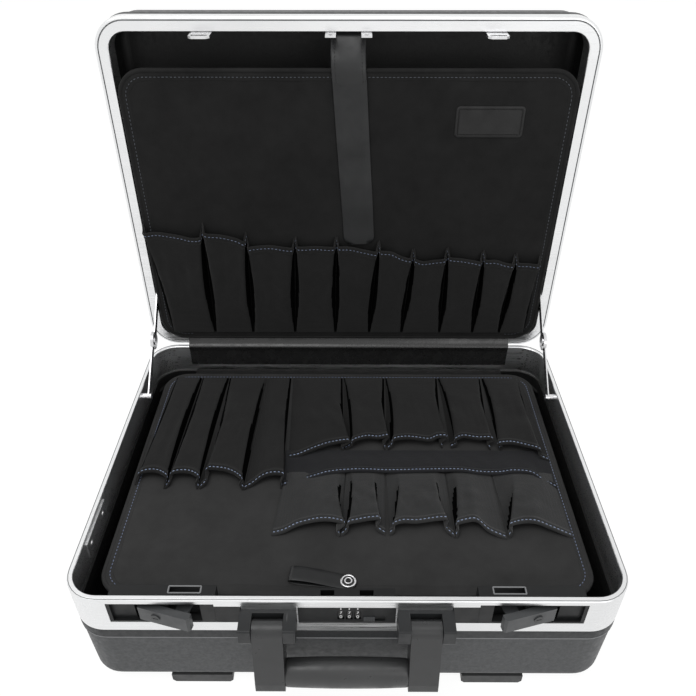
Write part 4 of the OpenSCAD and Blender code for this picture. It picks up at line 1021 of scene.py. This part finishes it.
def dome(centre, way, r, h):
    """A low round rivet head on a surface."""
    way = np.array(way, float)
    side = np.cross(way, (0.3, 0.5, 0.81))
    side /= np.linalg.norm(side)
    other = np.cross(way, side)
    pts, cols = [], 20
    for k, t in ((1.0, 0), (0.97, 0.35), (0.8, 0.75), (0.45, 0.96), (0.12, 1.0)):
        for a in np.radians(np.arange(cols) * 360 / cols):
            pts.append(np.array(centre) + way * h * t + r * k * (math.cos(a) * side + math.sin(a) * other))
    return pts, grid_faces(5, cols, wrap=True) + [tuple(range(cols)), tuple(range(4 * cols, 5 * cols))]


rivets = Solid()
for y in (72, 108):
    rivets.add(*dome((-238.3, y, -14), (1, 0, 0), 3.2, 1.2))
rivets.make("joiner_rivets", LOOKS["steel"], "base", "frame", 30)

# --- camera, floor and light ---------------------------------------------------------------------
camera = bpy.data.objects.new("camera", bpy.data.cameras.new("camera"))
bpy.context.scene.collection.objects.link(camera)
bpy.context.scene.camera = camera
camera.location = P(2.333, -350.147, 509.027)
camera.rotation_euler = (math.radians(52.259), 0, math.radians(0.235))
camera.data.lens, camera.data.sensor_width, camera.data.shift_y = 36.246, 36, 0.0421
camera.data.clip_start = 0.01

floor_mesh = bpy.data.meshes.new("floor")
floor_mesh.from_pydata([(-9, -9, 0), (9, -9, 0), (9, 9, 0), (-9, 9, 0)], [], [(0, 1, 2, 3)])
floor = bpy.data.objects.new("floor", floor_mesh)
bpy.context.scene.collection.objects.link(floor)
paper = bpy.data.materials.new("paper")
paper.use_nodes = True
tree = paper.node_tree
tree.nodes.remove(tree.nodes["Principled BSDF"])


def shown(tree, plain, bright, rays=("Is Camera Ray", "Is Glossy Ray", "Is Transmission Ray")):
    """One shader for light, another for what the camera and mirrors see."""
    path = tree.nodes.new("ShaderNodeLightPath")
    total = path.outputs[rays[0]]
    for ray in rays[1:]:
        node = tree.nodes.new("ShaderNodeMath")
        node.operation = "MAXIMUM"
        tree.links.new(total, node.inputs[0])
        tree.links.new(path.outputs[ray], node.inputs[1])
        total = node.outputs[0]
    mix = tree.nodes.new("ShaderNodeMixShader")
    tree.links.new(total, mix.inputs[0])
    tree.links.new(plain, mix.inputs[1])
    tree.links.new(bright, mix.inputs[2])
    return mix.outputs[0]


def shader(tree, kind, colour, strength=None):
    node = tree.nodes.new(kind)
    node.inputs["Color"].default_value = (*colour, 1)
    if strength is not None:
        node.inputs["Strength"].default_value = strength
    return node.outputs[0]


both = tree.nodes.new("ShaderNodeAddShader")
tree.links.new(shader(tree, "ShaderNodeBsdfDiffuse", grey(0.16)), both.inputs[0])
tree.links.new(shader(tree, "ShaderNodeEmission", grey(1), 0.94), both.inputs[1])
surface = shown(tree, shader(tree, "ShaderNodeBsdfDiffuse", grey(0.8)), both.outputs[0])
tree.links.new(surface, tree.nodes["Material Output"].inputs["Surface"])
floor_mesh.materials.append(paper)

world = bpy.data.worlds.new("studio")
world.use_nodes = True
bpy.context.scene.world = world
tree = world.node_tree
tree.nodes.remove(tree.nodes["Background"])
surface = shown(tree, shader(tree, "ShaderNodeBackground", grey(1), 0.42),
                shader(tree, "ShaderNodeBackground", grey(1), 1.0))
tree.links.new(surface, tree.nodes["World Output"].inputs["Surface"])


def softbox(name, place, aim, size, power):
    lamp = bpy.data.lights.new(name, "AREA")
    lamp.shape, lamp.size, lamp.size_y, lamp.energy = "RECTANGLE", *size, power
    held = bpy.data.objects.new(name, lamp)
    bpy.context.scene.collection.objects.link(held)
    held.location = place
    held.rotation_euler = (Vector(aim) - Vector(place)).to_track_quat("-Z", "Y").to_euler()


softbox("key", (-0.5, -0.5, 1.9), (0, 0.05, 0.15), (1.4, 1.1), 11)
softbox("fill", (0.9, -1.7, 0.9), (0, 0, 0.1), (1.2, 1.0), 5)

bpy.context.scene.view_settings.view_transform = "Standard"
